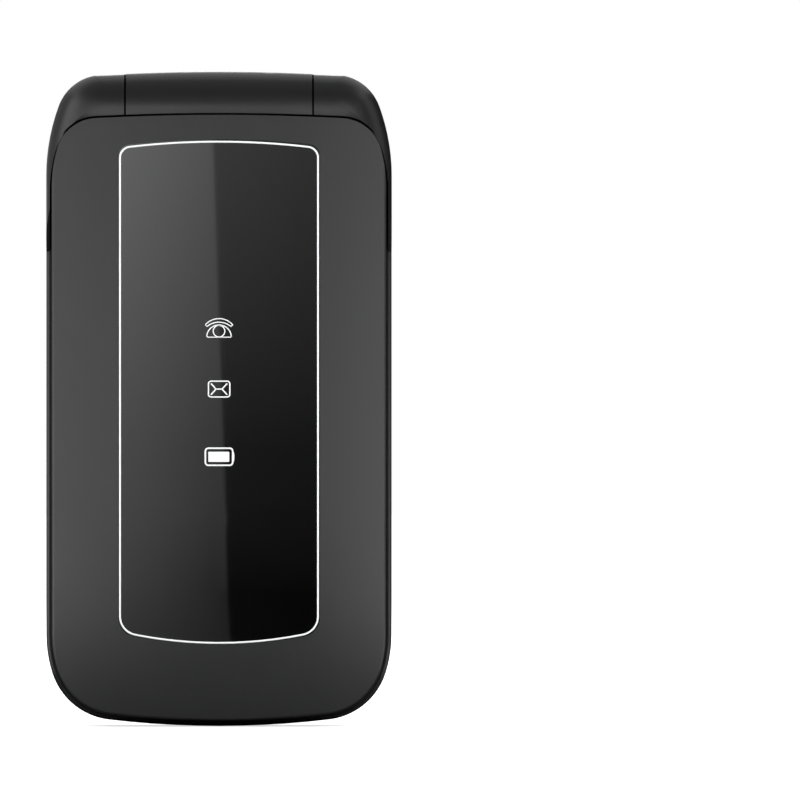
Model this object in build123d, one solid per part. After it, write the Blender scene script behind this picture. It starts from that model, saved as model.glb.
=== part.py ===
from build123d import *
import math
import os

# A folding handset that stands upright on its foot: +X right and +Z up to the hinge, seen from its
# front, +Y towards its back.  The origin is at the middle of the foot, on the floor it stands on.
# The lid lies over the keypad and turns about a hinge along X at the top.  Sizes are millimetres.

# ---------------------------------------------------------------- overall sizes
body_width = 56.0
body_height = 106.07
body_depth = 19.5
lid_depth = 7.5
fold_gap = 0.25          # between the closed lid and the deck
back_cover_depth = 5.35
half_width = body_width / 2

# The outline's two ends: a shallow crown, a corner and a long flank, each tangent to the next.
# A "drop" is measured down from the top of the body, a "margin" in from its side.
top_crown_r = 365.0
top_corner_r = 7.74
top_flank_r = 32.6
top_flank_drop = 16.87
foot_crown_r = 153.0
foot_corner_r = 10.95
foot_flank_r = 20.5
foot_flank_z = 14.8

# The middle of the groove round the lid's own top end, which nests in the base.
ear_rim = 0.78
lid_tip_drop = 6.955
lid_top_crown_r = 398.6
lid_top_corner_r = 6.94
lid_top_flank_r = 23.0
lid_top_flank_drop = 18.885

# ---------------------------------------------------------------- walls and gaps
base_wall = 1.4
cover_wall = 1.3
lid_wall = 1.2
side_wall_share = 1.05   # the lid's side walls are this much thicker than its wall by the hinge
lid_skin = 1.9
inner_skin = 1.2
deck_rim_fillet = 0.5
back_edge_fillet = 5.2
lid_edge_fillet = 0.45
part_gap = 0.15          # between fixed pieces that drop into each other
key_gap = 0.2
foot_curve_z = 36.0      # faces fall away from here down to the foot
foot_curve_r = 450.0
lid_crown_r = 300.0

# ---------------------------------------------------------------- hinge
knuckle_r = 5.6
shoulder_fillet = 5.25   # rounding of the hinge shoulders' front edge
groove_gap = 0.34        # groove between the lid and the hinge shoulders, seen from the front
groove_depth = 1.9
lid_lip = 0.2            # thickness of the lid's end where it meets the groove
turning_gap = 0.07       # further room between the lid's end and the knuckles it turns about
barrel_end_drop = 0.35   # the barrel is crowned: its ends are this much smaller
barrel_margin = 12.95
barrel_seam = 0.3
spigot_r = 4.5
spigot_length = 0.7
trough_r = 6.1
ear_foot_drop = 29.07
heel_wall_y = 1.1        # front of the base's top wall, behind the lid's heel
pin_r = 2.2
pin_bore_r = 1.3
pin_clearance = 0.08
pin_hold = 6.55          # how far the pins reach into the barrel
pin_margin = 6.7
flex_coil_r = 1.1
flex_thickness = 0.2
flex_width = 6.0
flex_room = 0.5          # from the circuit's tail to the hollow pin, and round it in its passage
duct_y = 1.2
duct_width = 2.4

# ---------------------------------------------------------------- lid contents
window_margin = 11.68
window_top_drop = 11.07
window_foot_z = 13.4
window_top_crown_r = 140.0
window_foot_crown_r = 75.0
window_top_corner_r = 1.9
window_foot_corner_r = 3.1
window_depth = 0.9
window_gap = 0.04
icon_drops = (41.57, 51.47, 62.47)
icon_slot = (5.8, 4.2)
lid_cavity_drop = 14.07
display_margin = 4.5
display_foot_z = 17.5
display_top_drop = 24.57
display_depth = 2.5
lens_side_inset = 1.0
lens_end_reach = 2.0
display_lens_depth = 0.85
lid_foot_screw = (6.6, 10.0)     # margin and height
lid_top_screw = (5.4, 19.07)     # margin and drop
receiver_centre = (0.0, 9.2)
receiver_size = (12.0, 6.0)
lid_board_margin = 6.0
lid_board_foot_z = 14.0
lid_board_top_drop = 19.67

# ---------------------------------------------------------------- deck and keys
field_inset = 2.4
field_top_drop = 22.07
field_depth = 1.0
field_plate = 1.2
key_proud = 0.85
key_travel = 0.4
key_flange = 0.5
key_flange_lip = 0.55
key_nib_r = 1.1
key_nib = 0.45
key_field_margin = 4.3
key_land = 1.5           # deck between two keys of a row
key_row_land = 1.6
key_first_row_z = 11.6
key_corner_r = 2.2
key_edge_inset = 3.1
key_top_fillet = 0.3
nav_drop = 37.47
nav_row_reach = 22.8     # from the round key down to the topmost digit row
nav_outer_r = 10.5
nav_inner_r = 5.35
ok_r = 5.0
side_key_margin = 10.1
side_key_inner_margin = 16.6
side_key_height = 8.8
side_key_reach = 8.2
nav_tilt_room = 0.35
nav_dome_r = 8.0
dome_base_r = 2.2
dome_top_r = 1.2
dome_height = 0.3
dome_gap = 0.05
sheet_thickness = 0.1
board_thickness = 0.9

# ---------------------------------------------------------------- base contents
board_margin = 6.8
board_foot_z = 3.6
board_left_top_drop = 21.57
board_right_top_drop = 13.67
board_step_x = 3.0
battery_margin = 9.0
battery_foot_z = 14.0
battery_top_drop = 42.07
battery_depth = 4.0
bay_gap = 0.3
bay_wall = 1.0
bay_wall_height = 3.4
chassis_plate = 0.7
rail_width = 1.1
rail_height = 3.2
cavity_top_drop = 13.07
antenna_z = 9.0
antenna_stand = 2.2
screw_boss_r = 1.9
screw_hole_r = 0.6
screw_head_r = 1.3
screw_head = 0.8
screw_shank_r = 0.55
foot_screw = (11.5, 4.1)         # margin and height
side_screw = (4.0, 37.47)        # margin and drop
top_screw = (4.0, 17.87)
tab_heights = (30.0, 52.0)
bezel_place = (15.5, 22.52)      # margin and drop
bezel_size = (12.6, 20.9)
bezel_corner_r = 2.6
bezel_depth = 1.85
camera_place = (15.45, 16.97)
camera_window_size = (10.3, 7.75)
camera_window_corner_r = 1.75
sos_place = (15.48, 26.67)
sos_size = (9.56, 9.8)
sos_corner_r = 1.3
sos_gap = 0.15
sos_travel = 0.5
tower_wall = 0.8
speaker_place = (17.16, 22.47)
speaker_inset = 7.1
speaker_height = 12.0
speaker_bracket_drops = (24.57, 20.07, 15.57)
grille_columns = (-3.32, -2.5, -1.5, -0.5, 0.5, 1.5, 2.5, 3.32)
grille_spread = 7.57     # speaker's length over the holes' pitch
grille_rows = (3.8, 1.36)
grille_small_r = 0.63
grille_large_r = 0.73
jack_drop = 17.67
jack_y = 1.7
jack_bore_r = 1.8
jack_nose_r = 2.4
jack_length = 14.0
jack_height = 5.6
usb_size = (7.5, 2.5)
usb_length = 5.2
usb_y = 2.1
rocker_drop = 36.07
rocker_length = 16.0
rocker_height = 2.4
rocker_y = 1.5
rocker_gap = 0.2
motor_place = (6.6, 36.77)
motor_r = 3.3
can_margin = 8.0
low_can_drops = (26.27, 21.87)
tall_can_drops = (38.67, 22.47)
tall_can_width = 7.8
can_height = 1.4
sim_drops = (38.87, 26.87)
sim_clearance = 1.6
sim_height = 1.35
microphone_margin = 18.0
microphone_size = (3.6, 1.3, 2.0)

# ---------------------------------------------------------------- depths, front to back
front_y = -body_depth / 2
back_y = body_depth / 2
lid_back_y = front_y + lid_depth
lid_split_y = front_y + 3.75
deck_y = lid_back_y + fold_gap
parting_y = back_y - back_cover_depth
field_y = deck_y + field_depth
plate_back_y = field_y + field_plate
key_front_y = field_y - key_proud
flange_y = plate_back_y + 0.05
nib_back_y = flange_y + key_flange + key_nib
carrier_back_y = plate_back_y - 0.3 + nav_tilt_room + 0.4
dome_front_y = nib_back_y + key_travel + dome_gap
nav_nib_back_y = dome_front_y - 0.28
sheet_y = dome_front_y + dome_height
board_y = sheet_y + sheet_thickness
board_back_y = board_y + board_thickness
chassis_y = board_back_y + 0.05
bay_floor_y = chassis_y + chassis_plate
hinge_y = front_y + knuckle_r
hinge_z = body_height - knuckle_r
hinge_axis = Axis((0, hinge_y, hinge_z), (1, 0, 0))
lens_back_y = lid_back_y - 0.1
lens_front_y = lens_back_y - display_lens_depth
display_back_y = lens_front_y - 0.1
display_front_y = display_back_y - display_depth
lid_board_back_y = display_front_y
lid_board_front_y = lid_board_back_y - 0.7

# ---------------------------------------------------------------- places, across and up
barrel_half = half_width - barrel_margin
pin_inner_x = barrel_half - pin_hold
pin_outer_x = half_width - pin_margin
flex_right_x = pin_inner_x - flex_room
flex_left_x = flex_right_x - flex_width
ear_foot_z = body_height - ear_foot_drop
window_top_z = body_height - window_top_drop
icon_heights = [body_height - drop for drop in icon_drops]
lid_cavity_top_z = body_height - lid_cavity_drop
display_size = (body_width - 2 * display_margin, body_height - display_top_drop - display_foot_z)
display_centre_z = display_foot_z + display_size[1] / 2
display_lens_size = (display_size[0] - 2 * lens_side_inset, display_size[1] + 2 * lens_end_reach)
lid_screw_places = [
    (side * (half_width - margin), z)
    for margin, z in (lid_foot_screw, (lid_top_screw[0], body_height - lid_top_screw[1]))
    for side in (-1, 1)
]
field_top_z = body_height - field_top_drop
nav_z = body_height - nav_drop
key_column_pitch = (body_width - 2 * key_field_margin) / 3
key_row_pitch = (nav_z - nav_row_reach - key_first_row_z) / 3
key_size = (key_column_pitch - key_land, key_row_pitch - key_row_land)
side_key_x = half_width - side_key_margin
side_key_size = (half_width - side_key_inner_margin, side_key_height)
side_key_rows = (nav_z - side_key_reach, nav_z + side_key_reach)
board_half_width = half_width - board_margin
battery_size = (body_width - 2 * battery_margin, body_height - battery_top_drop - battery_foot_z, battery_depth)
cavity_top_z = body_height - cavity_top_drop
base_screw_places = (
    (foot_screw[0] - half_width, foot_screw[1]),
    (half_width - foot_screw[0], foot_screw[1]),
    (side_screw[0] - half_width, body_height - side_screw[1]),
    (half_width - top_screw[0], body_height - top_screw[1]),
)
bezel_centre = (half_width - bezel_place[0], body_height - bezel_place[1])
camera_centre = (half_width - camera_place[0], body_height - camera_place[1])
sos_centre = (half_width - sos_place[0], body_height - sos_place[1])
speaker_centre = (speaker_place[0] - half_width, body_height - speaker_place[1])
speaker_size = (half_width - speaker_inset, speaker_height)
grille_pitch = speaker_size[0] / grille_spread
motor_centre = (half_width - motor_place[0], body_height - motor_place[1])
tall_can_right_x = bezel_centre[0] - bezel_size[0] / 2 - tower_wall
tall_can_left_x = tall_can_right_x - tall_can_width
microphone_x = half_width - microphone_margin
jack_z = body_height - jack_drop
rocker_centre_z = body_height - rocker_drop


# ================================================================ profiles and simple solids
class RoundedEnd:
    """One end of an outline: crown, corner and flank arcs, tangent to each other and to the sides."""

    def __init__(self, side_x, tip_z, up, crown_r, corner_r, flank_r, flank_z):
        self.tip_z = tip_z
        self.up = up
        self.side_x = side_x
        self.flank_z = flank_z
        crown = (0.0, up * tip_z - crown_r)
        flank = (side_x - flank_r, up * flank_z)
        to_crown = crown_r - corner_r
        to_flank = flank_r - corner_r
        distance = math.hypot(flank[0], flank[1] - crown[1])
        along = (distance ** 2 + to_crown ** 2 - to_flank ** 2) / (2 * distance)
        across = math.sqrt(to_crown ** 2 - along ** 2)
        unit = (flank[0] / distance, (flank[1] - crown[1]) / distance)
        corner = (unit[0] * along + unit[1] * across, crown[1] + unit[1] * along - unit[0] * across)
        crown_angle = math.atan2(corner[1] - crown[1], corner[0])
        flank_angle = math.atan2(corner[1] - flank[1], corner[0] - flank[0])
        self.arcs = (
            (crown, crown_r, math.pi / 2, crown_angle),
            (corner, corner_r, crown_angle, flank_angle),
            (flank, flank_r, flank_angle, 0.0),
        )

    def points(self, inset, steps):
        """Points from the crown's tip round to the straight side, pulled in by inset; steps for each arc."""
        found = [(0.0, self.tip_z - self.up * inset)]
        for (centre, radius, start, end), count in zip(self.arcs, steps):
            reach = radius - inset
            for step in range(1, count + 1):
                angle = start + (end - start) * step / count
                z = self.up * (centre[1] + reach * math.sin(angle))
                found.append((centre[0] + reach * math.cos(angle), z))
        return found

    def edges(self, inset):
        """The end's five arcs, from the left side over the crown to the right side."""
        right = self.points(inset, (1, 2, 2))
        left = [(-x, z) for x, z in right]
        return [
            ThreePointArc(left[5], left[4], left[3]),
            ThreePointArc(left[3], left[2], left[1]),
            ThreePointArc(left[1], right[0], right[1]),
            ThreePointArc(right[1], right[2], right[3]),
            ThreePointArc(right[3], right[4], right[5]),
        ]


top_end = RoundedEnd(half_width, body_height, 1, top_crown_r, top_corner_r, top_flank_r,
                     flank_z=body_height - top_flank_drop)
foot_end = RoundedEnd(half_width, 0.0, -1, foot_crown_r, foot_corner_r, foot_flank_r, foot_flank_z)
lid_top_end = RoundedEnd(half_width - ear_rim, body_height - lid_tip_drop, 1, lid_top_crown_r,
                         lid_top_corner_r, lid_top_flank_r, flank_z=body_height - lid_top_flank_drop)


def body_outline(inset=0.0):
    """The handset's front outline, pulled in by inset all round."""
    side_x = half_width - inset
    sides = [Line((x, foot_flank_z), (x, top_end.flank_z)) for x in (-side_x, side_x)]
    return make_face(foot_end.edges(inset) + sides + top_end.edges(inset))


def lid_outline(inset=0.0):
    """The middle of the groove round the closed lid, pulled in by inset all round."""
    side_x = lid_top_end.side_x - inset
    sides = [Line((x, foot_flank_z), (x, lid_top_end.flank_z)) for x in (-side_x, side_x)]
    return make_face(foot_end.edges(ear_rim + inset) + sides + lid_top_end.edges(inset))


def skirt_outline(inset, top_z):
    """The outline's foot and sides, cut straight across at top_z."""
    side_x = half_width - inset
    sides = [Line((x, foot_flank_z), (x, top_z)) for x in (-side_x, side_x)]
    return make_face(foot_end.edges(inset) + sides + [Line((-side_x, top_z), (side_x, top_z))])


def slab(profile, y_from, y_to):
    """A profile drawn in x and z, made solid between two depths."""
    return extrude(Plane.XZ.offset(-y_from) * profile, amount=y_to - y_from, dir=(0, 1, 0))


def block(x0, x1, y0, y1, z0, z1):
    """A box given by its limits."""
    return Pos((x0 + x1) / 2, (y0 + y1) / 2, (z0 + z1) / 2) * Box(x1 - x0, y1 - y0, z1 - z0)


def zone(y0, y1, z0, z1):
    """A block that reaches across the whole handset."""
    return block(-body_width, body_width, y0, y1, z0, z1)


def pad(centre, size, corner_r, y_from, y_to):
    """A round-cornered rectangle, made solid between two depths."""
    return slab(Pos(*centre) * RectangleRounded(size[0], size[1], corner_r), y_from, y_to)


def post(centre, radius, y_from, y_to):
    """A round post along Y."""
    return slab(Pos(*centre) * Circle(radius), y_from, y_to)


def axle(radius, x_from, x_to, y=hinge_y, z=hinge_z):
    """A round bar along X, on the hinge axis unless a place is given."""
    middle = Pos((x_from + x_to) / 2, y, z)
    return middle * Rot(0, 90, 0) * Cylinder(radius, abs(x_to - x_from))


def front_edges(shape):
    """The edges of a solid's foremost flat face."""
    return shape.faces().sort_by(Axis.Y)[0].edges()


def back_edges(shape):
    """The edges of a solid's rearmost flat face."""
    return shape.faces().sort_by(Axis.Y)[-1].edges()


def rod_screw(centre, head_y, tip_y, head_dir):
    """A small pan-head screw along Y with a cross recess; head_dir is 1 where the head faces back."""
    head_end = head_y + head_dir * screw_head
    head = post(centre, screw_head_r, min(head_y, head_end), max(head_y, head_end))
    shank = post(centre, screw_shank_r, min(head_y, tip_y), max(head_y, tip_y))
    slot_depth = screw_head / 2
    low = min(head_end, head_end - head_dir * slot_depth)
    x, z = centre
    slots = block(x - 0.8, x + 0.8, low, low + slot_depth, z - 0.15, z + 0.15)
    slots += block(x - 0.15, x + 0.15, low, low + slot_depth, z - 0.8, z + 0.8)
    return head + shank - slots


# ================================================================ main forms
def face_fall(x, skin=0.0):
    """How far the lid's crowned face has fallen back at x."""
    crown_r = lid_crown_r - skin
    return crown_r - math.sqrt(crown_r ** 2 - x ** 2)


def lid_envelope(gap, less=0.0, side_room=0.0):
    """Everything beyond a surface turned about the hinge, which runs along the lid's outline a lip's
    thickness behind the lid's crowned face.  The lid keeps outside it as it turns, and the knuckles
    inside; gap pulls the outline in, less takes from every radius and side_room widens the far part."""
    right = [
        (x, math.hypot(knuckle_r - face_fall(x) - lid_lip, hinge_z - z) - less)
        for x, z in lid_top_end.points(gap, (3, 5, 4))
    ]
    left = [(-x, r) for x, r in reversed(right[1:])]
    side_x, side_r = right[-1]
    wide_x = side_x + side_room
    far_r = body_height + knuckle_r
    edges = [
        Spline(*(left + right)),
        Line((wide_x, side_r), (wide_x, far_r)),
        Line((wide_x, far_r), (-wide_x, far_r)),
        Line((-wide_x, far_r), (-wide_x, side_r)),
    ]
    if side_room:
        edges += [Line((side * side_x, side_r), (side * wide_x, side_r)) for side in (-1, 1)]
    radial_plane = Plane(origin=(0, hinge_y, hinge_z), x_dir=(1, 0, 0), z_dir=(0, 1, 0))
    return revolve(radial_plane * make_face(edges), axis=hinge_axis, revolution_arc=360)


def beyond_lid_end(gap):
    """Everything past the lid's top end in plan, from where its sides stop being straight."""
    flank_z = lid_top_end.flank_z
    side_x = lid_top_end.side_x - gap
    ring = lid_top_end.edges(gap) + [
        Line((side_x, flank_z), (body_width, flank_z)),
        Line((body_width, flank_z), (body_width, body_height + 1)),
        Line((body_width, body_height + 1), (-body_width, body_height + 1)),
        Line((-body_width, body_height + 1), (-body_width, flank_z)),
        Line((-body_width, flank_z), (-side_x, flank_z)),
    ]
    return slab(make_face(ring), front_y - 1, deck_y + 1)


def lid_face_form(skin):
    """Everything behind the lid's face: crowned across, and falling away towards the foot."""
    face_y = front_y + skin
    reach = half_width + 2
    drop = face_fall(reach, skin)
    rear_y = deck_y + 1
    profile = make_face([
        ThreePointArc((-reach, face_y + drop), (0, face_y), (reach, face_y + drop)),
        Line((reach, face_y + drop), (reach, rear_y)),
        Line((reach, rear_y), (-reach, rear_y)),
        Line((-reach, rear_y), (-reach, face_y + drop)),
    ])
    start = Pos(0, 0, foot_curve_z) * profile
    foot_r = foot_curve_r - skin
    foot_axis = Axis((0, face_y + foot_r, foot_curve_z), (1, 0, 0))
    foot_angle = math.degrees(1.25 * foot_curve_z / foot_r)
    upper = extrude(start, amount=body_height - foot_curve_z, dir=(0, 0, 1))
    lower = revolve(start, axis=foot_axis, revolution_arc=foot_angle)
    return upper + lower


def lid_form(wall, skin, y_from, y_to, rounded=None):
    """The closed lid's outer form between two depths, pulled in by a side wall and a face skin, with
    the edges along its sides and foot that rounded picks out rounded."""
    inset = ear_rim + groove_gap / 2 + side_wall_share * wall
    body = slab(skirt_outline(inset, hinge_z), y_from, y_to) & lid_face_form(skin)
    if rounded:
        body = fillet([edge for edge in rounded(body) if edge.center().Z < hinge_z - 1], lid_edge_fillet)
    gap = groove_gap / 2 + wall
    return (body & lid_envelope(gap, side_room=1.0)) - beyond_lid_end(gap)


def face_rim(body):
    """The edges round the lid's crowned face."""
    return [e for e in body.edges() if e.bounding_box().max.Y < lid_split_y - 0.8 and e.length > 3
            and e.bounding_box().size.X < body_width - 4]


def back_form(inset, y_from):
    """The base's rear form: rounded all round its back edge, and falling away towards the foot."""
    face_y = back_y - inset
    foot_r = foot_curve_r - inset
    low_z = -1.0
    low_y = face_y - (foot_r - math.sqrt(foot_r ** 2 - (foot_curve_z - low_z) ** 2))
    mid_z = (foot_curve_z + low_z) / 2
    mid_y = face_y - (foot_r - math.sqrt(foot_r ** 2 - (foot_curve_z - mid_z) ** 2))
    high_z = body_height + 1
    profile = make_face([
        ThreePointArc((low_y, low_z), (mid_y, mid_z), (face_y, foot_curve_z)),
        Line((face_y, foot_curve_z), (face_y, high_z)),
        Line((face_y, high_z), (y_from, high_z)),
        Line((y_from, high_z), (y_from, low_z)),
        Line((y_from, low_z), (low_y, low_z)),
    ])
    side = extrude(Plane.YZ * profile, amount=body_width, both=True)
    body = slab(body_outline(inset), y_from, back_y) & side
    rear = [edge for edge in body.edges() if edge.bounding_box().min.Y > y_from + 0.5]
    seam = [edge for edge in rear if abs(edge.center().X) < 1e-3 and edge.length > body_width - 5
            and abs(edge.center().Z - foot_curve_z) < 0.01]
    return fillet([edge for edge in rear if edge not in seam], back_edge_fillet - inset)


def hinge_block():
    """The front of the base's top end, crowned as the lid is, with its front edge well rounded."""
    low_z = ear_foot_z - 2 * knuckle_r
    body = slab(body_outline(), front_y, deck_y + 1) & lid_face_form(0)
    body &= zone(front_y, deck_y + 1, low_z, body_height)
    rim = [edge for edge in front_edges(body) if edge.center().Z > low_z + 0.01]
    return fillet(rim, shoulder_fillet)


def groove_form():
    """The closed lid's plan with its groove, cut into whatever stands round the lid's top end."""
    return slab(lid_outline(-groove_gap / 2), front_y - 1, front_y + groove_depth)


def ear_room():
    """Everything behind the ears' front line, which runs in an arc from the deck up to the knuckles."""
    drop = deck_y - front_y
    rise = hinge_z - ear_foot_z
    ear_r = (rise ** 2 + drop ** 2) / (2 * drop)
    half_rise = rise / 2
    half_y = front_y + ear_r - math.sqrt(ear_r ** 2 - half_rise ** 2)
    outside = front_y - 1
    inside = deck_y + 2
    high_z = body_height + 1
    profile = make_face([
        ThreePointArc((front_y, hinge_z), (half_y, hinge_z - half_rise), (deck_y, ear_foot_z)),
        Line((deck_y, ear_foot_z), (inside, ear_foot_z)),
        Line((inside, ear_foot_z), (inside, high_z)),
        Line((inside, high_z), (outside, high_z)),
        Line((outside, high_z), (outside, hinge_z)),
        Line((outside, hinge_z), (front_y, hinge_z)),
    ])
    return extrude(Plane.YZ * profile, amount=body_width, both=True)


def window_outline(inset=0.0):
    """The outer window's outline: crowned ends with rounded corners."""
    half = half_width - window_margin - inset
    top = window_top_z - inset
    foot = window_foot_z + inset
    top_drop = half ** 2 / (2 * window_top_crown_r)
    foot_rise = half ** 2 / (2 * window_foot_crown_r)
    face = make_face([
        ThreePointArc((-half, top - top_drop), (0, top), (half, top - top_drop)),
        Line((half, top - top_drop), (half, foot + foot_rise)),
        ThreePointArc((half, foot + foot_rise), (0, foot), (-half, foot + foot_rise)),
        Line((-half, foot + foot_rise), (-half, top - top_drop)),
    ])
    corners = face.vertices().sort_by(Axis.Y)
    face = fillet(corners[-2:], window_top_corner_r - inset)
    corners = face.vertices().sort_by(Axis.Y)
    return fillet(corners[:2], window_foot_corner_r - inset)


# ================================================================ lid
def make_lid_front_cover():
    """Outer shell of the lid, with the window's bed, icon slots, screw bosses and a slot for the tongue."""
    shell = lid_form(0, 0, front_y, lid_split_y, rounded=face_rim)
    shell -= lid_form(lid_wall, lid_skin, front_y, lid_split_y) & lid_cavity_zone()
    for place in lid_screw_places:
        shell += post(place, screw_boss_r, front_y + 1.0, lid_split_y) & lid_form(0.4, 0.9, front_y, 0)
    for place in lid_screw_places:
        shell -= post(place, screw_hole_r, front_y + lid_skin + 0.4, lid_split_y)
    bed = slab(window_outline(), front_y, lid_split_y) - lid_face_form(window_depth)
    shell -= bed
    for z in icon_heights:
        shell -= pad((0, z), icon_slot, 0.6, front_y, lid_split_y)
    return shell - tongue_form(part_gap)


def lid_cavity_zone():
    """The part of the lid below the hinge wall, which is hollow."""
    return zone(front_y, lid_back_y, -1, lid_cavity_top_z)


def make_outer_window():
    """Glossy panel that lies flush in the lid's face."""
    body = slab(window_outline(window_gap), front_y, lid_split_y)
    return body & (lid_face_form(0) - lid_face_form(window_depth))


def make_icon_light_guide():
    """Clear strip behind the face with a lit post in each icon slot."""
    strip_front = front_y + lid_skin + 0.15
    guide = pad((0, (icon_heights[0] + icon_heights[-1]) / 2), (12.0, 30.0), 1.5, strip_front, lid_board_front_y)
    for z in icon_heights:
        post_size = (icon_slot[0] - 0.3, icon_slot[1] - 0.3)
        guide += pad((0, z), post_size, 0.5, front_y + window_depth + 0.1, strip_front)
    return guide


def make_lid_board():
    """Circuit board between the face and the display, notched round the screw bosses."""
    top_z = body_height - lid_board_top_drop
    plan_size = (body_width - 2 * lid_board_margin, top_z - lid_board_foot_z)
    board = pad((0, (lid_board_foot_z + top_z) / 2), plan_size, 1.5, lid_board_front_y, lid_board_back_y)
    for place in lid_screw_places:
        board -= post(place, screw_boss_r + 0.9, lid_board_front_y, lid_board_back_y)
    return board


def tongue_form(gap=0.0):
    """The flat tongue that ties the hinge barrel into the lid."""
    half = barrel_half - 1.05 + gap
    return block(-half, half, front_y + lid_skin + 0.05 - gap, lid_split_y + 0.9 + gap,
                 lid_cavity_top_z - 5 - gap, hinge_z - knuckle_r + 2.5)


def flex_passage():
    """Way for the flexible circuit from the lid into the barrel."""
    return block(flex_left_x - flex_room, flex_right_x + flex_room, lid_split_y + 0.85, lid_split_y + 1.6,
                 lid_cavity_top_z - 6, hinge_z - 1)


def crowned_barrel():
    """The barrel's body: turned about the hinge, a little smaller at its ends."""
    end_r = knuckle_r - barrel_end_drop
    profile = make_face([
        ThreePointArc((-barrel_half, end_r), (0, knuckle_r), (barrel_half, end_r)),
        Line((barrel_half, end_r), (barrel_half, 0)),
        Line((barrel_half, 0), (-barrel_half, 0)),
        Line((-barrel_half, 0), (-barrel_half, end_r)),
    ])
    radial_plane = Plane(origin=(0, hinge_y, hinge_z), x_dir=(1, 0, 0), z_dir=(0, 1, 0))
    return revolve(radial_plane * profile, axis=hinge_axis, revolution_arc=360)


def make_hinge_barrel():
    """Middle segment of the hinge, fixed to the lid by its tongue and bored for the pin and cartridge."""
    barrel = crowned_barrel() - groove_form() + tongue_form()
    bore_r = pin_r + pin_clearance
    for side in (-1, 1):
        barrel -= axle(bore_r, side * (pin_inner_x - 0.5), side * (barrel_half + 1))
        barrel -= axle(spigot_r + 0.2, side * (barrel_half + barrel_seam - spigot_length - 0.15),
                       side * (barrel_half + 1))
    barrel -= axle(bore_r - 0.4, flex_left_x - 3.0, pin_inner_x)
    return barrel - flex_passage()


def make_lid_inner_housing():
    """Inner shell of the lid, with the lens's bed, the display's opening and the earpiece slot."""
    shell = lid_form(0, 0, lid_split_y, lid_back_y, rounded=back_edges)
    cavity = lid_form(lid_wall, 0, lid_split_y, lid_back_y - inner_skin) & lid_cavity_zone()
    shell -= cavity
    for place in lid_screw_places:
        shell += post(place, screw_boss_r + 0.6, lid_split_y, lid_back_y - inner_skin) & lid_form(
            0, 0, lid_split_y, lid_back_y)
    for place in lid_screw_places:
        shell -= post(place, screw_head_r + 0.45, lid_back_y - 1.9, lid_back_y)
        shell -= post(place, screw_shank_r + 0.15, lid_split_y, lid_back_y)
    lens_centre = (0, display_centre_z)
    bed_size = (display_lens_size[0] + 2 * part_gap, display_lens_size[1] + 2 * part_gap)
    shell -= pad(lens_centre, bed_size, 2.0, lens_front_y, lid_back_y)
    shell -= pad(lens_centre, (display_size[0] - 4.6, display_size[1] - 4.0), 1.0, lid_split_y, lid_back_y)
    shell -= pad(receiver_centre, (9.0, 1.4), 0.65, lid_split_y, lid_back_y)
    shell -= pad(receiver_centre, (11.0, 3.4), 1.6, lid_back_y - 0.5, lid_back_y)
    return shell - tongue_form(part_gap) - flex_passage()


def make_inner_display_lens():
    """Clear lens over the display, flush in the inner shell."""
    lens = pad((0, display_centre_z), display_lens_size, 1.9, lens_front_y, lens_back_y)
    return chamfer(back_edges(lens), 0.15)


def make_display_module():
    """Display cell with its backlight tray and driver ledge."""
    cell = pad((0, display_centre_z), display_size, 0.8, display_front_y, display_back_y - 0.6)
    glass = pad((0, display_centre_z + 1.5), (display_size[0] - 5.2, display_size[1] - 8.0), 0.3,
                display_back_y - 0.6, display_back_y)
    return cell + glass


def make_display_frame():
    """Pressed metal frame round the display cell."""
    outer = (display_size[0] + 1.6, display_size[1] + 1.6)
    inner = (display_size[0] + 0.2, display_size[1] + 0.2)
    centre = (0, display_centre_z)
    frame = pad(centre, outer, 1.4, display_front_y, lid_back_y - inner_skin - 0.05)
    return frame - pad(centre, inner, 0.9, display_front_y, lid_back_y)


def make_earpiece_receiver():
    """Oval receiver capsule behind the earpiece slot."""
    rear = lid_back_y - inner_skin - 0.05
    body = pad(receiver_centre, receiver_size, 2.9, rear - 2.0, rear)
    return body + pad(receiver_centre, (8.0, 3.6), 1.7, rear - 2.3, rear - 2.0)


def make_earpiece_mesh():
    """Fine mesh that covers the earpiece slot, with a row of slots."""
    mesh = pad(receiver_centre, (10.8, 3.2), 1.5, lid_back_y - 0.45, lid_back_y - 0.15)
    for step in range(-3, 4):
        mesh -= pad((receiver_centre[0] + step * 1.2, receiver_centre[1]), (0.5, 1.8), 0.24,
                    lid_back_y - 0.5, lid_back_y)
    return mesh


def make_lid_screws():
    """Four screws that hold the lid's shells together."""
    head_y = lid_back_y - 1.85
    return [rod_screw(place, head_y, lid_split_y - 1.2, 1) for place in lid_screw_places]


def make_lid_bumpers():
    """Four rubber buttons that plug the screw holes and keep the closed lid off the deck."""
    bumpers = []
    for place in lid_screw_places:
        button = post(place, screw_head_r + 0.4, lid_back_y - 1.0, lid_back_y + fold_gap - 0.05)
        bumpers.append(chamfer(back_edges(button), 0.12))
    return bumpers


def make_lid_magnet():
    """Bar magnet that tells the base when the lid is shut."""
    rear = lid_back_y - inner_skin - 0.05
    return pad((-12.0, 8.8), (6.0, 3.0), 0.3, rear - 1.6, rear)


def make_lid_flex():
    """Flexible circuit's lid half: a flat tail from the board, rolled up along the hinge axis."""
    tail_front = lid_split_y + 1.1
    low_z = lid_cavity_top_z - 7
    back = tail_front + flex_thickness
    tail = block(flex_left_x, flex_right_x, tail_front, back, low_z, hinge_z - 0.8)
    foot = block(flex_left_x, flex_right_x, lid_board_back_y, back, low_z, low_z + flex_thickness)
    roll = axle(flex_coil_r, flex_left_x - 1, pin_outer_x + 0.4)
    roll -= axle(flex_coil_r - flex_thickness, flex_left_x - 2, pin_outer_x + 1)
    return tail + foot + roll


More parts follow.
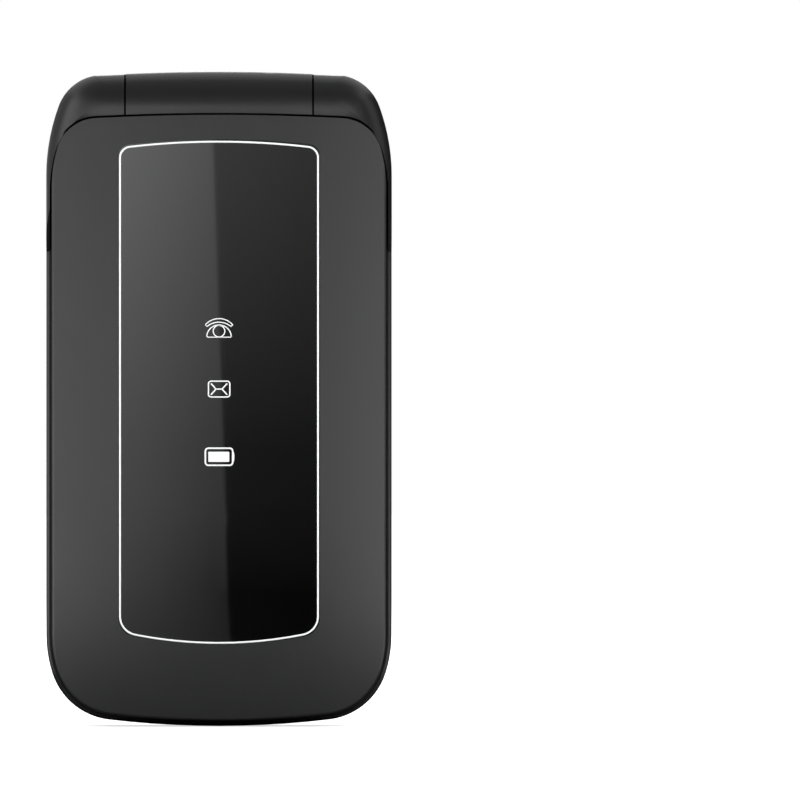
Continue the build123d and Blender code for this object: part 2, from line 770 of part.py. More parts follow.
# ================================================================ base
def key_profile(centre, size, corner_r, grow):
    """A key's outline, grown by grow, held inside the deck's curved edge."""
    plan = Pos(*centre) * RectangleRounded(size[0] + 2 * grow, size[1] + 2 * grow, corner_r + grow)
    return plan & body_outline(key_edge_inset - grow)


def key_places():
    """Name, centre, size and corner radius of every key but the round ones."""
    names = (("key_star", "key_0", "key_hash"), ("key_7", "key_8", "key_9"),
             ("key_4", "key_5", "key_6"), ("key_1", "key_2", "key_3"))
    places = []
    for row, row_names in enumerate(names):
        for column, name in enumerate(row_names):
            centre = ((column - 1) * key_column_pitch, key_first_row_z + row * key_row_pitch)
            places.append((name, centre, key_size, key_corner_r))
    for name, side, row in (("key_call", -1, 0), ("key_end", 1, 0),
                            ("key_soft_left", -1, 1), ("key_soft_right", 1, 1)):
        places.append((name, (side * side_key_x, side_key_rows[row]), side_key_size, key_corner_r))
    return places


def side_key_relief(grow):
    """Round space about the navigation ring that the keys beside it curve round."""
    return Pos(0, nav_z) * Circle(nav_outer_r + 2.2 - grow)


def key_plan(place, grow):
    """The plan of one key of key_places, grown by grow."""
    name, centre, size, corner_r = place
    plan = key_profile(centre, size, corner_r, grow)
    if centre[1] > nav_z - nav_outer_r - 6:
        plan -= side_key_relief(grow)
    return plan


def make_key(place):
    """A key cap with a retaining flange and the nib that presses its dome."""
    centre = place[1]
    cap = slab(key_plan(place, 0), key_front_y, flange_y)
    cap = fillet(front_edges(cap), key_top_fillet)
    flange = slab(key_plan(place, key_flange_lip), flange_y, flange_y + key_flange)
    nib = post(centre, key_nib_r, flange_y + key_flange, nib_back_y)
    return cap + flange + nib


def make_ok_key():
    """Round middle key, kept in by a flange behind the ring's carrier."""
    cap = post((0, nav_z), ok_r, key_front_y, carrier_back_y + 0.2)
    cap = fillet(front_edges(cap), key_top_fillet)
    flange_back = carrier_back_y + 0.2 + 0.3
    flange = post((0, nav_z), nav_inner_r + 0.6, carrier_back_y + 0.2, flange_back)
    return cap + flange + post((0, nav_z), key_nib_r, flange_back, nib_back_y)


def make_nav_ring():
    """Four-way ring: rocks left and right on two ridges, its side nibs passing through the carrier."""
    ring_back = plate_back_y - 0.3
    ring = post((0, nav_z), nav_outer_r, key_front_y, ring_back)
    ring -= post((0, nav_z), nav_inner_r, key_front_y, ring_back)
    ring = fillet(front_edges(ring), key_top_fillet)
    for side in (-1, 1):
        middle = nav_z + side * (nav_inner_r + nav_outer_r) / 2
        ring += pad((0, middle), (0.5, 3.6), 0.2, ring_back, ring_back + nav_tilt_room - 0.05)
        ring += post((side * nav_dome_r, nav_z), key_nib_r, ring_back, nav_nib_back_y)
    return ring


def make_nav_carrier():
    """Gimbal plate under the ring: rocks up and down on two lugs under the deck plate."""
    front = carrier_back_y - 0.4
    carrier = post((0, nav_z), nav_outer_r - 0.15, front, carrier_back_y)
    carrier += block(-nav_outer_r - 0.8, nav_outer_r + 0.8, front, carrier_back_y, nav_z - 0.8, nav_z + 0.8)
    carrier -= post((0, nav_z), nav_inner_r, front, carrier_back_y)
    for side in (-1, 1):
        carrier -= post((side * nav_dome_r, nav_z), key_nib_r + 0.3, front, carrier_back_y)
        carrier += post((0, nav_z + side * nav_dome_r), key_nib_r, carrier_back_y, nav_nib_back_y)
    return carrier


def make_front_housing():
    """Base's front shell: deck, hinge knuckles and ears, side walls, key openings and screw bosses."""
    deck = slab(body_outline(), deck_y, parting_y)
    deck = fillet(front_edges(deck), deck_rim_fillet)
    shell = deck + (hinge_block() & ear_room())
    swept = lid_envelope(-groove_gap / 2, less=turning_gap)
    lid_room = zone(front_y - 5, deck_y, -5, body_height + 5)
    heel_room = zone(front_y - 5, heel_wall_y, hinge_z, body_height + 5)
    shell -= swept & (lid_room + heel_room)
    shell -= groove_form()
    trough_half = barrel_half + barrel_seam
    shell -= axle(trough_r, -trough_half, trough_half)
    shell -= block(-trough_half, trough_half, front_y - 5, deck_y, ear_foot_z, body_height + 5)
    shell -= block(-trough_half, trough_half, front_y - 5, heel_wall_y, hinge_z, body_height + 5)
    for side in (-1, 1):
        shell += axle(spigot_r, side * (trough_half - spigot_length), side * (trough_half + 0.5))
    cavity_zone = zone(plate_back_y, parting_y, -1, cavity_top_z)
    cavity = slab(body_outline(base_wall), plate_back_y, parting_y) & cavity_zone
    for place in base_screw_places:
        cavity -= post(place, screw_boss_r, plate_back_y, chassis_y)
    shell -= cavity
    shell -= slab(body_outline(field_inset), deck_y, field_y) & zone(deck_y, field_y, -1, field_top_z)
    for place in key_places():
        shell -= slab(key_plan(place, key_gap), field_y - 0.5, plate_back_y + 0.1)
    shell -= post((0, nav_z), nav_outer_r + key_gap, field_y - 0.5, plate_back_y + 0.1)
    for place in base_screw_places:
        shell -= post(place, screw_hole_r, field_y + 0.4, chassis_y)
    shell -= axle(pin_r + 0.02, trough_half - 1, pin_outer_x + 0.1)
    shell -= axle(pin_r + 0.02, -pin_outer_x - 0.1, -trough_half + 1)
    shell -= flex_channel()
    shell -= jack_room()
    usb_room = (usb_size[0] + 0.6, usb_size[1] + 0.6)
    shell -= block(-usb_room[0] / 2, usb_room[0] / 2, usb_y - usb_room[1] / 2, usb_y + usb_room[1] / 2, -1, 3)
    shell -= Pos(microphone_x + microphone_size[0] / 2, 1.2, 1.0) * Cylinder(0.5, 4)
    shell -= rocker_form(rocker_gap)
    return shell


def flex_channel():
    """Duct from the hollow pin's outer end down into the base."""
    inner_x = pin_outer_x - 0.1
    outer_x = inner_x + duct_width
    across = block(inner_x, outer_x, hinge_y - 1.3, duct_y + 1.0, hinge_z - 1.3, hinge_z + 1.3)
    return across + block(inner_x, outer_x, duct_y - 1.0, duct_y + 1.0, cavity_top_z - 0.5, hinge_z + 1.3)


def jack_room():
    """Pocket for the headset jack and the hole for its nose."""
    body_x = base_wall - half_width
    pocket = block(body_x - 0.05, body_x + jack_length, jack_y - jack_nose_r - 0.1, parting_y,
                   jack_z - jack_height / 2 - part_gap, jack_z + jack_height / 2 + part_gap)
    return pocket + axle(jack_nose_r + 0.15, -half_width - 1, body_x + 1, jack_y, jack_z)


def rocker_form(grow):
    """Volume rocker's face bar through the side wall, grown by grow."""
    length = rocker_length + 2 * grow
    height = rocker_height + 2 * grow
    outer_x = half_width + (1.0 if grow else -0.03)
    inner_x = half_width - base_wall - 0.5
    plan = Pos(rocker_y, rocker_centre_z) * RectangleRounded(height, length, height / 2 - 0.05)
    return extrude(Plane.YZ.offset(inner_x) * plan, amount=outer_x - inner_x)


def make_volume_rocker():
    """Two-way side rocker with a retaining flange inside the wall."""
    inner_x = half_width - base_wall - 0.5
    flange_reach = rocker_length / 2 + 0.6
    flange = block(inner_x - 0.5, inner_x + 0.15, rocker_y - 1.2, rocker_y + 1.2,
                   rocker_centre_z - flange_reach, rocker_centre_z + flange_reach)
    return rocker_form(0) + flange


def make_dome_sheet():
    """Sheet of snap domes on the keypad side of the board."""
    sheet = slab(body_outline(base_wall + 1.0), sheet_y, board_y)
    sheet &= block(-board_half_width + 0.3, board_half_width - 0.3, sheet_y, board_y, 6.2, field_top_z - 0.4)
    centres = [place[1] for place in key_places()] + [(0, nav_z)]
    for side in (-1, 1):
        centres += [(side * nav_dome_r, nav_z), (0, nav_z + side * nav_dome_r)]
    for centre in centres:
        dome = Cone(dome_base_r, dome_top_r, dome_height)
        sheet += Pos(centre[0], sheet_y - dome_height / 2, centre[1]) * Rot(90, 0, 0) * dome
    return sheet


def make_main_board():
    """Main circuit board, stepped at its top and notched for the USB connector."""
    plan = body_outline(base_wall + 0.5)
    board = slab(plan, board_y, board_back_y)
    left_top_z = body_height - board_left_top_drop
    right_top_z = body_height - board_right_top_drop
    left = block(-board_half_width, board_step_x, board_y, board_back_y, board_foot_z, left_top_z)
    right = block(board_step_x, board_half_width, board_y, board_back_y, board_foot_z, right_top_z)
    board &= left + right
    for place in base_screw_places:
        board -= post(place, screw_boss_r + 0.3, board_y, board_back_y)
    half = usb_size[0] / 2 + 0.1
    return board - block(-half, half, board_y, board_back_y, 0, 0.5 + usb_length + 0.1)


def shield_can(x0, x1, drops):
    """One can between two places across and two drops from the top."""
    can = block(x0, x1, board_back_y, board_back_y + can_height, body_height - drops[0], body_height - drops[1])
    return fillet(can.edges().filter_by(Axis.Y), 0.4)


def make_shield_cans():
    """Two pressed shield cans on the back of the board."""
    low = shield_can(can_margin - half_width, tall_can_left_x - 0.6, low_can_drops)
    tall = shield_can(tall_can_left_x, tall_can_right_x, tall_can_drops)
    return [low, tall]


def make_sim_holder():
    """SIM card holder with a sliding tray's window."""
    x0 = can_margin - half_width
    x1 = tall_can_left_x - sim_clearance
    y0 = board_back_y
    z0, z1 = [body_height - drop for drop in sim_drops]
    holder = block(x0, x1, y0, y0 + sim_height, z0, z1)
    holder -= block(x0 + 1.2, x1 - 1.2, y0 + 0.4, y0 + 1.1, z0 + 1.0, z1 + 0.1)
    return holder - block(x0 + 2.6, x1 - 2.6, y0 + 1.0, y0 + 1.5, z0 + 2.2, z1 + 0.1)


def make_battery():
    """Flat rechargeable pack with three contact lands at its top end."""
    width, height, depth = battery_size
    pack = pad((0, battery_foot_z + height / 2), (width, height), 1.2, bay_floor_y + 0.05, bay_floor_y + depth)
    for step in (-1, 0, 1):
        pack -= block(step * 3.0 - 0.9, step * 3.0 + 0.9, bay_floor_y + 1.0, bay_floor_y + 3.0,
                      battery_foot_z + height - 0.25, battery_foot_z + height + 1)
    return pack


def make_battery_contacts():
    """Contact block with three sprung fingers that meet the pack."""
    top_z = battery_foot_z + battery_size[1]
    body = block(-5.8, 5.8, board_back_y, bay_floor_y + 3.4, top_z + 0.6, top_z + 3.1)
    for step in (-1, 0, 1):
        body += block(step * 3.0 - 0.6, step * 3.0 + 0.6, bay_floor_y + 1.2, bay_floor_y + 2.8,
                      top_z - 0.2, top_z + 0.7)
    return body


def grille_holes():
    """Centre and radius of each loudspeaker hole: rows of four, six, two, six and four."""
    holes = []
    for sign in (-1, 1):
        for index, column in enumerate(grille_columns[1:-1]):
            inner = 0 < index < 5
            holes.append((column, sign * grille_rows[1], grille_large_r if inner else grille_small_r))
            if inner:
                holes.append((column, sign * grille_rows[0], grille_small_r))
    for column in (grille_columns[0], grille_columns[-1]):
        holes.append((column, 0.0, grille_small_r))
    return [((speaker_centre[0] + c * grille_pitch, speaker_centre[1] + z), r) for c, z, r in holes]


def make_back_cover():
    """Rear shell that pulls straight off: rounded form, bezel opening, grille and locating tabs."""
    shell = back_form(0, parting_y) - back_form(cover_wall, parting_y)
    opening = (bezel_size[0] + 2 * part_gap, bezel_size[1] + 2 * part_gap)
    shell -= pad(bezel_centre, opening, bezel_corner_r + part_gap, parting_y, back_y + 1)
    for centre, radius in grille_holes():
        shell -= post(centre, radius, parting_y, back_y + 1)
    tab_x = half_width - base_wall - 0.05
    for z in tab_heights:
        for side in (-1, 1):
            x0, x1 = sorted((side * (tab_x - 0.9), side * tab_x))
            root0, root1 = sorted((side * (tab_x - 0.9), side * (tab_x + 0.6)))
            shell += block(x0, x1, parting_y - 1.2, parting_y + 0.8, z - 2.5, z + 2.5)
            shell += block(root0, root1, parting_y, parting_y + 0.8, z - 2.5, z + 2.5)
    return shell


def make_chassis():
    """Mid frame: rail round the edge, battery bay, camera tower and loudspeaker ring."""
    rail_back = chassis_y + rail_height
    top_front = parting_y + 0.05
    rail_plan = body_outline(base_wall + 0.2) - body_outline(base_wall + 0.2 + rail_width)
    low_zone = zone(chassis_y, rail_back, -1, cavity_top_z - 0.2)
    high_zone = zone(top_front, rail_back, cavity_top_z - 0.2, body_height)
    under_wall = zone(chassis_y, top_front, cavity_top_z - 0.2, body_height)
    frame = slab(rail_plan, chassis_y, rail_back) & (low_zone + high_zone)
    width, height, depth = battery_size
    bay_top = battery_foot_z + height + bay_gap
    floor_plate = slab(body_outline(base_wall + 0.2), chassis_y, bay_floor_y)
    frame += floor_plate & zone(chassis_y, bay_floor_y, -1, bay_top + bay_wall)
    bay_centre = (0, battery_foot_z + height / 2)
    bay_room = (width + 2 * bay_gap, height + 2 * bay_gap)
    bay_outer = (bay_room[0] + 2 * bay_wall, bay_room[1] + 2 * bay_wall)
    bay = pad(bay_centre, bay_outer, 2.2, bay_floor_y, bay_floor_y + bay_wall_height)
    frame += bay - pad(bay_centre, bay_room, 1.4, bay_floor_y, bay_floor_y + bay_wall_height)
    tower_size = (bezel_size[0] - 0.4, bezel_size[1] - 0.4)
    tower_room = (tower_size[0] - 2 * tower_wall, tower_size[1] - 2 * tower_wall)
    tower_back = back_y - bezel_depth
    frame += pad(bezel_centre, tower_size, bezel_corner_r, chassis_y, tower_back)
    low_z = bezel_centre[1] - 9.05
    frame += block(bezel_centre[0], half_width - 2, chassis_y, bay_floor_y, low_z, cavity_top_z - 0.4)
    speaker_room = (speaker_size[0] + 0.3, speaker_size[1] + 0.3)
    ring_size = (speaker_room[0] + 1.8, speaker_room[1] + 1.8)
    ring_front = board_back_y + 1.45
    ring_back = ring_front + 3.3
    frame += pad(speaker_centre, ring_size, 1.6, ring_front, ring_back)
    side_low_z, right_low_z, high_z = [body_height - drop for drop in speaker_bracket_drops]
    frame += block(2 - half_width, speaker_centre[0], ring_front, ring_front + 0.7, side_low_z, high_z)
    frame += block(speaker_centre[0], bezel_centre[0], ring_front, ring_front + 0.7, right_low_z, high_z)
    frame -= pad(speaker_centre, speaker_room, 1.0, ring_front + 0.1, ring_back)
    frame -= pad(speaker_centre, (speaker_room[0] - 3, speaker_room[1] - 3), 1.0, ring_front, ring_back)
    frame -= pad(bezel_centre, tower_room, bezel_corner_r - tower_wall, board_back_y, tower_back + 1)
    frame += pad((0, antenna_z), (width, 6.2), 2.0, bay_floor_y, bay_floor_y + antenna_stand)
    for place in base_screw_places:
        boss = post(place, screw_boss_r + 0.2, chassis_y, bay_floor_y)
        frame += boss & slab(body_outline(base_wall + 0.2), chassis_y, bay_floor_y)
        frame -= post(place, screw_shank_r + 0.2, chassis_y, bay_floor_y)
        frame -= post(place, screw_head_r + 0.25, bay_floor_y, back_y)
    contact_z = battery_foot_z + height
    frame -= block(-6.0, 6.0, chassis_y, back_y, contact_z + 0.2, contact_z + 4)
    tab_room_x = half_width - base_wall - 0.05 - 0.9 - 0.25
    for z in tab_heights:
        for side in (-1, 1):
            x0, x1 = sorted((side * tab_room_x, side * body_width))
            frame -= block(x0, x1, parting_y - 1.45, back_y, z - 2.8, z + 2.8)
    frame -= under_wall + jack_room() + motor_form(0.2)
    half = usb_size[0] / 2 + 0.3
    frame -= block(-half, half, chassis_y, bay_floor_y, -1, 0.4 + usb_length + 0.3)
    return frame & back_form(cover_wall + part_gap, chassis_y)


def motor_form(grow):
    """Coin motor, grown by grow."""
    return post(motor_centre, motor_r + grow, board_back_y, board_back_y + 2.7 + grow)


def make_vibration_motor():
    """Coin motor with a stepped cap."""
    cap = post(motor_centre, motor_r + 1, board_back_y + 2.3, board_back_y + 3)
    return motor_form(0) - (cap - post(motor_centre, motor_r - 0.5, board_back_y + 2.3, board_back_y + 3))


def make_antenna():
    """Folded metal antenna on the foot of the mid frame."""
    face = bay_floor_y + antenna_stand
    length = battery_size[0] - 2
    slot = (length - 10, 0.8)
    strip = pad((0, antenna_z), (length, 5.0), 1.2, face, face + 0.2)
    strip -= pad((-3.0, antenna_z + 0.85), slot, 0.39, face, face + 1)
    return strip - pad((3.0, antenna_z - 0.85), slot, 0.39, face, face + 1)


def make_camera_module():
    """Camera: square base on the board and a round lens barrel."""
    base_back = back_y - bezel_depth - 1.6
    module = pad(camera_centre, (7.4, 6.4), 0.4, board_back_y, base_back)
    module += post(camera_centre, 3.0, base_back, back_y - 1.3)
    return module - Pos(camera_centre[0], back_y - 1.3, camera_centre[1]) * Rot(90, 0, 0) * Cone(1.0, 2.2, 1.0)


def make_camera_bezel():
    """Frame on the back round the camera window and the emergency button."""
    frame = pad(bezel_centre, bezel_size, bezel_corner_r, back_y - bezel_depth, back_y)
    frame = chamfer(back_edges(frame), 0.25)
    window_room = (camera_window_size[0] + 0.1, camera_window_size[1] + 0.1)
    frame -= pad(camera_centre, window_room, camera_window_corner_r + 0.05, back_y - 0.9, back_y)
    frame -= post(camera_centre, 3.2, back_y - bezel_depth, back_y)
    room = (sos_size[0] + 2 * sos_gap, sos_size[1] + 2 * sos_gap)
    return frame - pad(sos_centre, room, sos_corner_r + sos_gap, back_y - bezel_depth, back_y)


def make_camera_window():
    """Clear window set just below the bezel's face."""
    pane = pad(camera_centre, camera_window_size, camera_window_corner_r, back_y - 0.88, back_y - 0.15)
    return chamfer(back_edges(pane), 0.12)


def make_sos_button():
    """Square emergency button with side lips under the bezel and a nib over its switch."""
    lip_back = back_y - bezel_depth - 0.06
    cap = pad(sos_centre, sos_size, sos_corner_r, lip_back - 0.55, back_y - 0.1)
    cap = fillet(back_edges(cap), 0.35)
    cap += pad(sos_centre, (sos_size[0] + 0.64, sos_size[1] - 3), 0.3, lip_back - 0.55, lip_back)
    return cap + post(sos_centre, 1.5, lip_back - 0.8, lip_back - 0.55)


def make_sos_switch():
    """Tall tact switch on the board under the emergency button."""
    plunger_back = back_y - bezel_depth - 0.06 - 0.8 - sos_travel - 0.05
    body = pad(sos_centre, (6.0, 6.0), 0.3, board_back_y, plunger_back - 0.7)
    return body + post(sos_centre, 1.7, plunger_back - 0.7, plunger_back)


def make_loudspeaker():
    """Loudspeaker with a raised gasket lip round its cone."""
    front = board_back_y + 1.6
    body = pad(speaker_centre, speaker_size, 1.0, front, front + 3.3)
    body += pad(speaker_centre, (speaker_size[0] - 1, speaker_size[1] - 1), 1.0, front + 3.3, front + 3.6)
    return body - pad(speaker_centre, (speaker_size[0] - 3, speaker_size[1] - 3), 1.0, front + 3.0, front + 4)


def make_speaker_mesh():
    """Dust mesh between the loudspeaker and the grille."""
    front = board_back_y + 1.6 + 3.6
    return pad(speaker_centre, (speaker_size[0] - 1, speaker_size[1] - 1.6), 1.0, front + 0.02, back_y - 1.35)


def make_usb_connector():
    """Charging socket: pressed shell open at the foot, with its tongue."""
    half = usb_size[0] / 2
    y0 = usb_y - usb_size[1] / 2
    y1 = usb_y + usb_size[1] / 2
    shell = block(-half, half, y0, y1, 0.4, 0.4 + usb_length)
    shell -= block(-half + 0.3, half - 0.3, y0 + 0.3, y1 - 0.3, 0.3, usb_length - 0.4)
    return shell + block(-half + 1.2, half - 1.2, usb_y - 0.3, usb_y + 0.3, 0.9, usb_length)


def make_headset_jack():
    """Jack socket: bored body with a round nose through the side wall."""
    wall_x = -half_width
    inner_x = wall_x + base_wall
    body = block(inner_x + 0.02, inner_x + jack_length - 0.4, jack_y - jack_nose_r, jack_y + jack_nose_r,
                 jack_z - jack_height / 2, jack_z + jack_height / 2)
    body += axle(jack_nose_r, wall_x + 0.1, inner_x + 1, jack_y, jack_z)
    return body - axle(jack_bore_r, wall_x - 1, wall_x + 0.1 + jack_length - 1.4, jack_y, jack_z)


def make_microphone():
    """Microphone by its port in the foot."""
    width, depth, height = microphone_size
    low_z = board_foot_z + 0.2
    return block(microphone_x, microphone_x + width, board_y - depth, board_y, low_z, low_z + height)


def make_hinge_cartridge():
    """Sprung friction cartridge in the left knuckle, its nose in the barrel."""
    body = axle(pin_r, -pin_outer_x, -barrel_half - barrel_seam)
    nose = axle(pin_r, -barrel_half - barrel_seam, -pin_inner_x)
    rings = axle(pin_r + 1, -pin_outer_x + 1.0, -pin_outer_x + 1.6) - axle(pin_r - 0.35, -half_width, 0)
    return body + nose - rings


def make_hinge_pin():
    """Hollow pin in the right knuckle that the flexible circuit runs through."""
    return axle(pin_r, pin_inner_x, pin_outer_x) - axle(pin_bore_r, pin_inner_x - 1, pin_outer_x + 1)


def make_base_flex():
    """Flexible circuit's base half, from the pin's outer end down to the board."""
    x0 = pin_outer_x + 0.6
    x1 = x0 + duct_width - 1
    half = flex_thickness / 2
    low_z = cavity_top_z - 0.9
    across = block(x0, x1, hinge_y - 0.8, duct_y + half, hinge_z - half, hinge_z + half)
    down = block(x0, x1, duct_y - half, duct_y + half, low_z, hinge_z + half)
    back = block(x0, x1, duct_y - half, board_y, low_z, low_z + flex_thickness)
    tab = block(board_half_width - 3.7, x1, board_y - flex_thickness, board_y, low_z - 1.8, low_z + flex_thickness)
    return across + down + back + tab


def make_base_screws():
    """Four screws through the mid frame into the front housing."""
    return [rod_screw(place, bay_floor_y, field_y + 0.6, 1) for place in base_screw_places]


# ================================================================ write every piece
def all_pieces():
    """Every sub-part by name."""
    pieces = {
        "lid_front_cover": make_lid_front_cover(),
        "outer_window": make_outer_window(),
        "icon_light_guide": make_icon_light_guide(),
        "lid_board": make_lid_board(),
        "lid_inner_housing": make_lid_inner_housing(),
        "hinge_barrel": make_hinge_barrel(),
        "inner_display_lens": make_inner_display_lens(),
        "display_module": make_display_module(),
        "display_frame": make_display_frame(),
        "earpiece_receiver": make_earpiece_receiver(),
        "earpiece_mesh": make_earpiece_mesh(),
        "lid_screws": make_lid_screws(),
        "lid_bumpers": make_lid_bumpers(),
        "lid_magnet": make_lid_magnet(),
        "lid_flex": make_lid_flex(),
        "front_housing": make_front_housing(),
        "chassis": make_chassis(),
        "main_board": make_main_board(),
        "dome_sheet": make_dome_sheet(),
        "shield_cans": make_shield_cans(),
        "sim_holder": make_sim_holder(),
        "battery": make_battery(),
        "battery_contacts": make_battery_contacts(),
        "camera_module": make_camera_module(),
        "camera_bezel": make_camera_bezel(),
        "camera_window": make_camera_window(),
        "sos_button": make_sos_button(),
        "sos_switch": make_sos_switch(),
        "loudspeaker": make_loudspeaker(),
        "speaker_mesh": make_speaker_mesh(),
        "vibration_motor": make_vibration_motor(),
        "antenna": make_antenna(),
        "usb_connector": make_usb_connector(),
        "headset_jack": make_headset_jack(),
        "microphone": make_microphone(),
        "hinge_cartridge": make_hinge_cartridge(),
        "hinge_pin": make_hinge_pin(),
        "base_flex": make_base_flex(),
        "base_screws": make_base_screws(),
        "back_cover": make_back_cover(),
        "volume_rocker": make_volume_rocker(),
        "nav_carrier": make_nav_carrier(),
        "nav_ring": make_nav_ring(),
        "ok_key": make_ok_key(),
    }
    for place in key_places():
        pieces[place[0]] = make_key(place)
    return pieces


os.makedirs("parts", exist_ok=True)
for name, piece in all_pieces().items():
    solids = piece if isinstance(piece, list) else piece.solids()
    shape = solids[0] if len(solids) == 1 else Compound(children=list(solids))
    export_step(shape, f"parts/{name}.step")
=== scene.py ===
"""Dresses the folding phone: finishes, printed marks, key legends, optics, board parts and the studio."""

from __future__ import annotations

import logging
import math
from collections.abc import Callable, Iterable, Sequence
from dataclasses import dataclass, field
from enum import Enum
from typing import Any

import bmesh
import bpy
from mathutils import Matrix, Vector
from mathutils.bvhtree import BVHTree

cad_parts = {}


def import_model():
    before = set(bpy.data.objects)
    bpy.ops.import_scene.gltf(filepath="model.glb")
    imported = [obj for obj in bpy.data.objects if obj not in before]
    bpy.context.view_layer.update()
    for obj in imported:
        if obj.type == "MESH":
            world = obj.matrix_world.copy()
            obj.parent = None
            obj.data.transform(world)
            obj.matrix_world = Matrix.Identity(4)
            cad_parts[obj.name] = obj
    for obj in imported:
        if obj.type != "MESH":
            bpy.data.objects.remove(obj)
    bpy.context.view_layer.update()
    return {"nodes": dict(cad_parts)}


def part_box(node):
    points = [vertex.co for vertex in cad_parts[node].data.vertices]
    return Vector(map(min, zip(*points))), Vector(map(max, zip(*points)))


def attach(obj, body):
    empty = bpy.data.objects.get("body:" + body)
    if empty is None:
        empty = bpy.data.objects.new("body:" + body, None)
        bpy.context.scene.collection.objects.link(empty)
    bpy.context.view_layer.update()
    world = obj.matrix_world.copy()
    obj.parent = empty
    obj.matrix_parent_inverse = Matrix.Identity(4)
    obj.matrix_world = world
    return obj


LOG = logging.getLogger("phone")
MM = 0.001
Point = tuple[float, float]
Place = tuple[float, float, float]
Colour = tuple[float, float, float]
Profile = tuple[Point, ...]
Lay = Callable[[float, float], float]
Named = dict[str, Any]
Piece = bpy.types.Object
Mesh = bpy.types.Mesh


# ------------------------------------------------------------------ shader graphs
def operator(operation: str, reflected: bool = False) -> Callable[[Value, Any], Value]:
    """Makes an arithmetic method that adds one Math node.

    Args:
        operation: The node's operation.
        reflected: Whether the other operand comes first.

    Returns:
        The method.
    """
    def method(value: Value, other: Any) -> Value:
        """Joins the value and the other operand."""
        first, second = (other, value) if reflected else (value, other)
        return value.graph.node("ShaderNodeMath", {"operation": operation}, {0: first, 1: second})

    return method


class Value:
    """A shader socket that takes part in arithmetic."""

    __add__ = operator("ADD")
    __radd__ = operator("ADD", reflected=True)
    __sub__ = operator("SUBTRACT")
    __rsub__ = operator("SUBTRACT", reflected=True)
    __mul__ = operator("MULTIPLY")
    __rmul__ = operator("MULTIPLY", reflected=True)
    __truediv__ = operator("DIVIDE")
    most = operator("MAXIMUM")
    zigzag = operator("PINGPONG")

    def __init__(self, graph: Graph, socket: bpy.types.NodeSocket) -> None:
        """Wraps one output socket of a graph."""
        self.graph = graph
        self.socket = socket

    def above(self, edge: Any, softness: float) -> Value:
        """A step from 0 to 1 that is half way at an edge and as wide as its softness."""
        return self.graph.node("ShaderNodeClamp", {}, {"Value": (self - edge) / softness + 0.5})

    def below(self, edge: Any, softness: float) -> Value:
        """The reverse step, from 1 to 0."""
        return 1.0 - self.above(edge, softness)

    def between(self, low: float, high: float, softness: float) -> Value:
        """A soft-edged bar: 1 between two edges and 0 outside them."""
        return self.above(low, softness) * self.below(high, softness)

    def fade(self, low: float, high: float, at_low: float, at_high: float) -> Value:
        """Maps a range onto another and holds the ends.

        Args:
            low: Where the input range starts.
            high: Where it ends.
            at_low: The result at its start.
            at_high: The result at its end.

        Returns:
            The mapped value.
        """
        values = {"Value": self, "From Min": low, "From Max": high, "To Min": at_low, "To Max": at_high}
        return self.graph.node("ShaderNodeMapRange", {"clamp": True}, values)

    def along(self, profile: Profile) -> Value:
        """A level that runs straight from each point of a profile to the next and holds its ends.

        Args:
            profile: Pairs of a place on this value's scale and the level there.

        Returns:
            The level.
        """
        level: Any = profile[0][1]
        for (low, at_low), (high, at_high) in zip(profile, profile[1:]):
            if at_high != at_low:
                level = self.fade(low, high, 0.0, at_high - at_low) + level
        return level


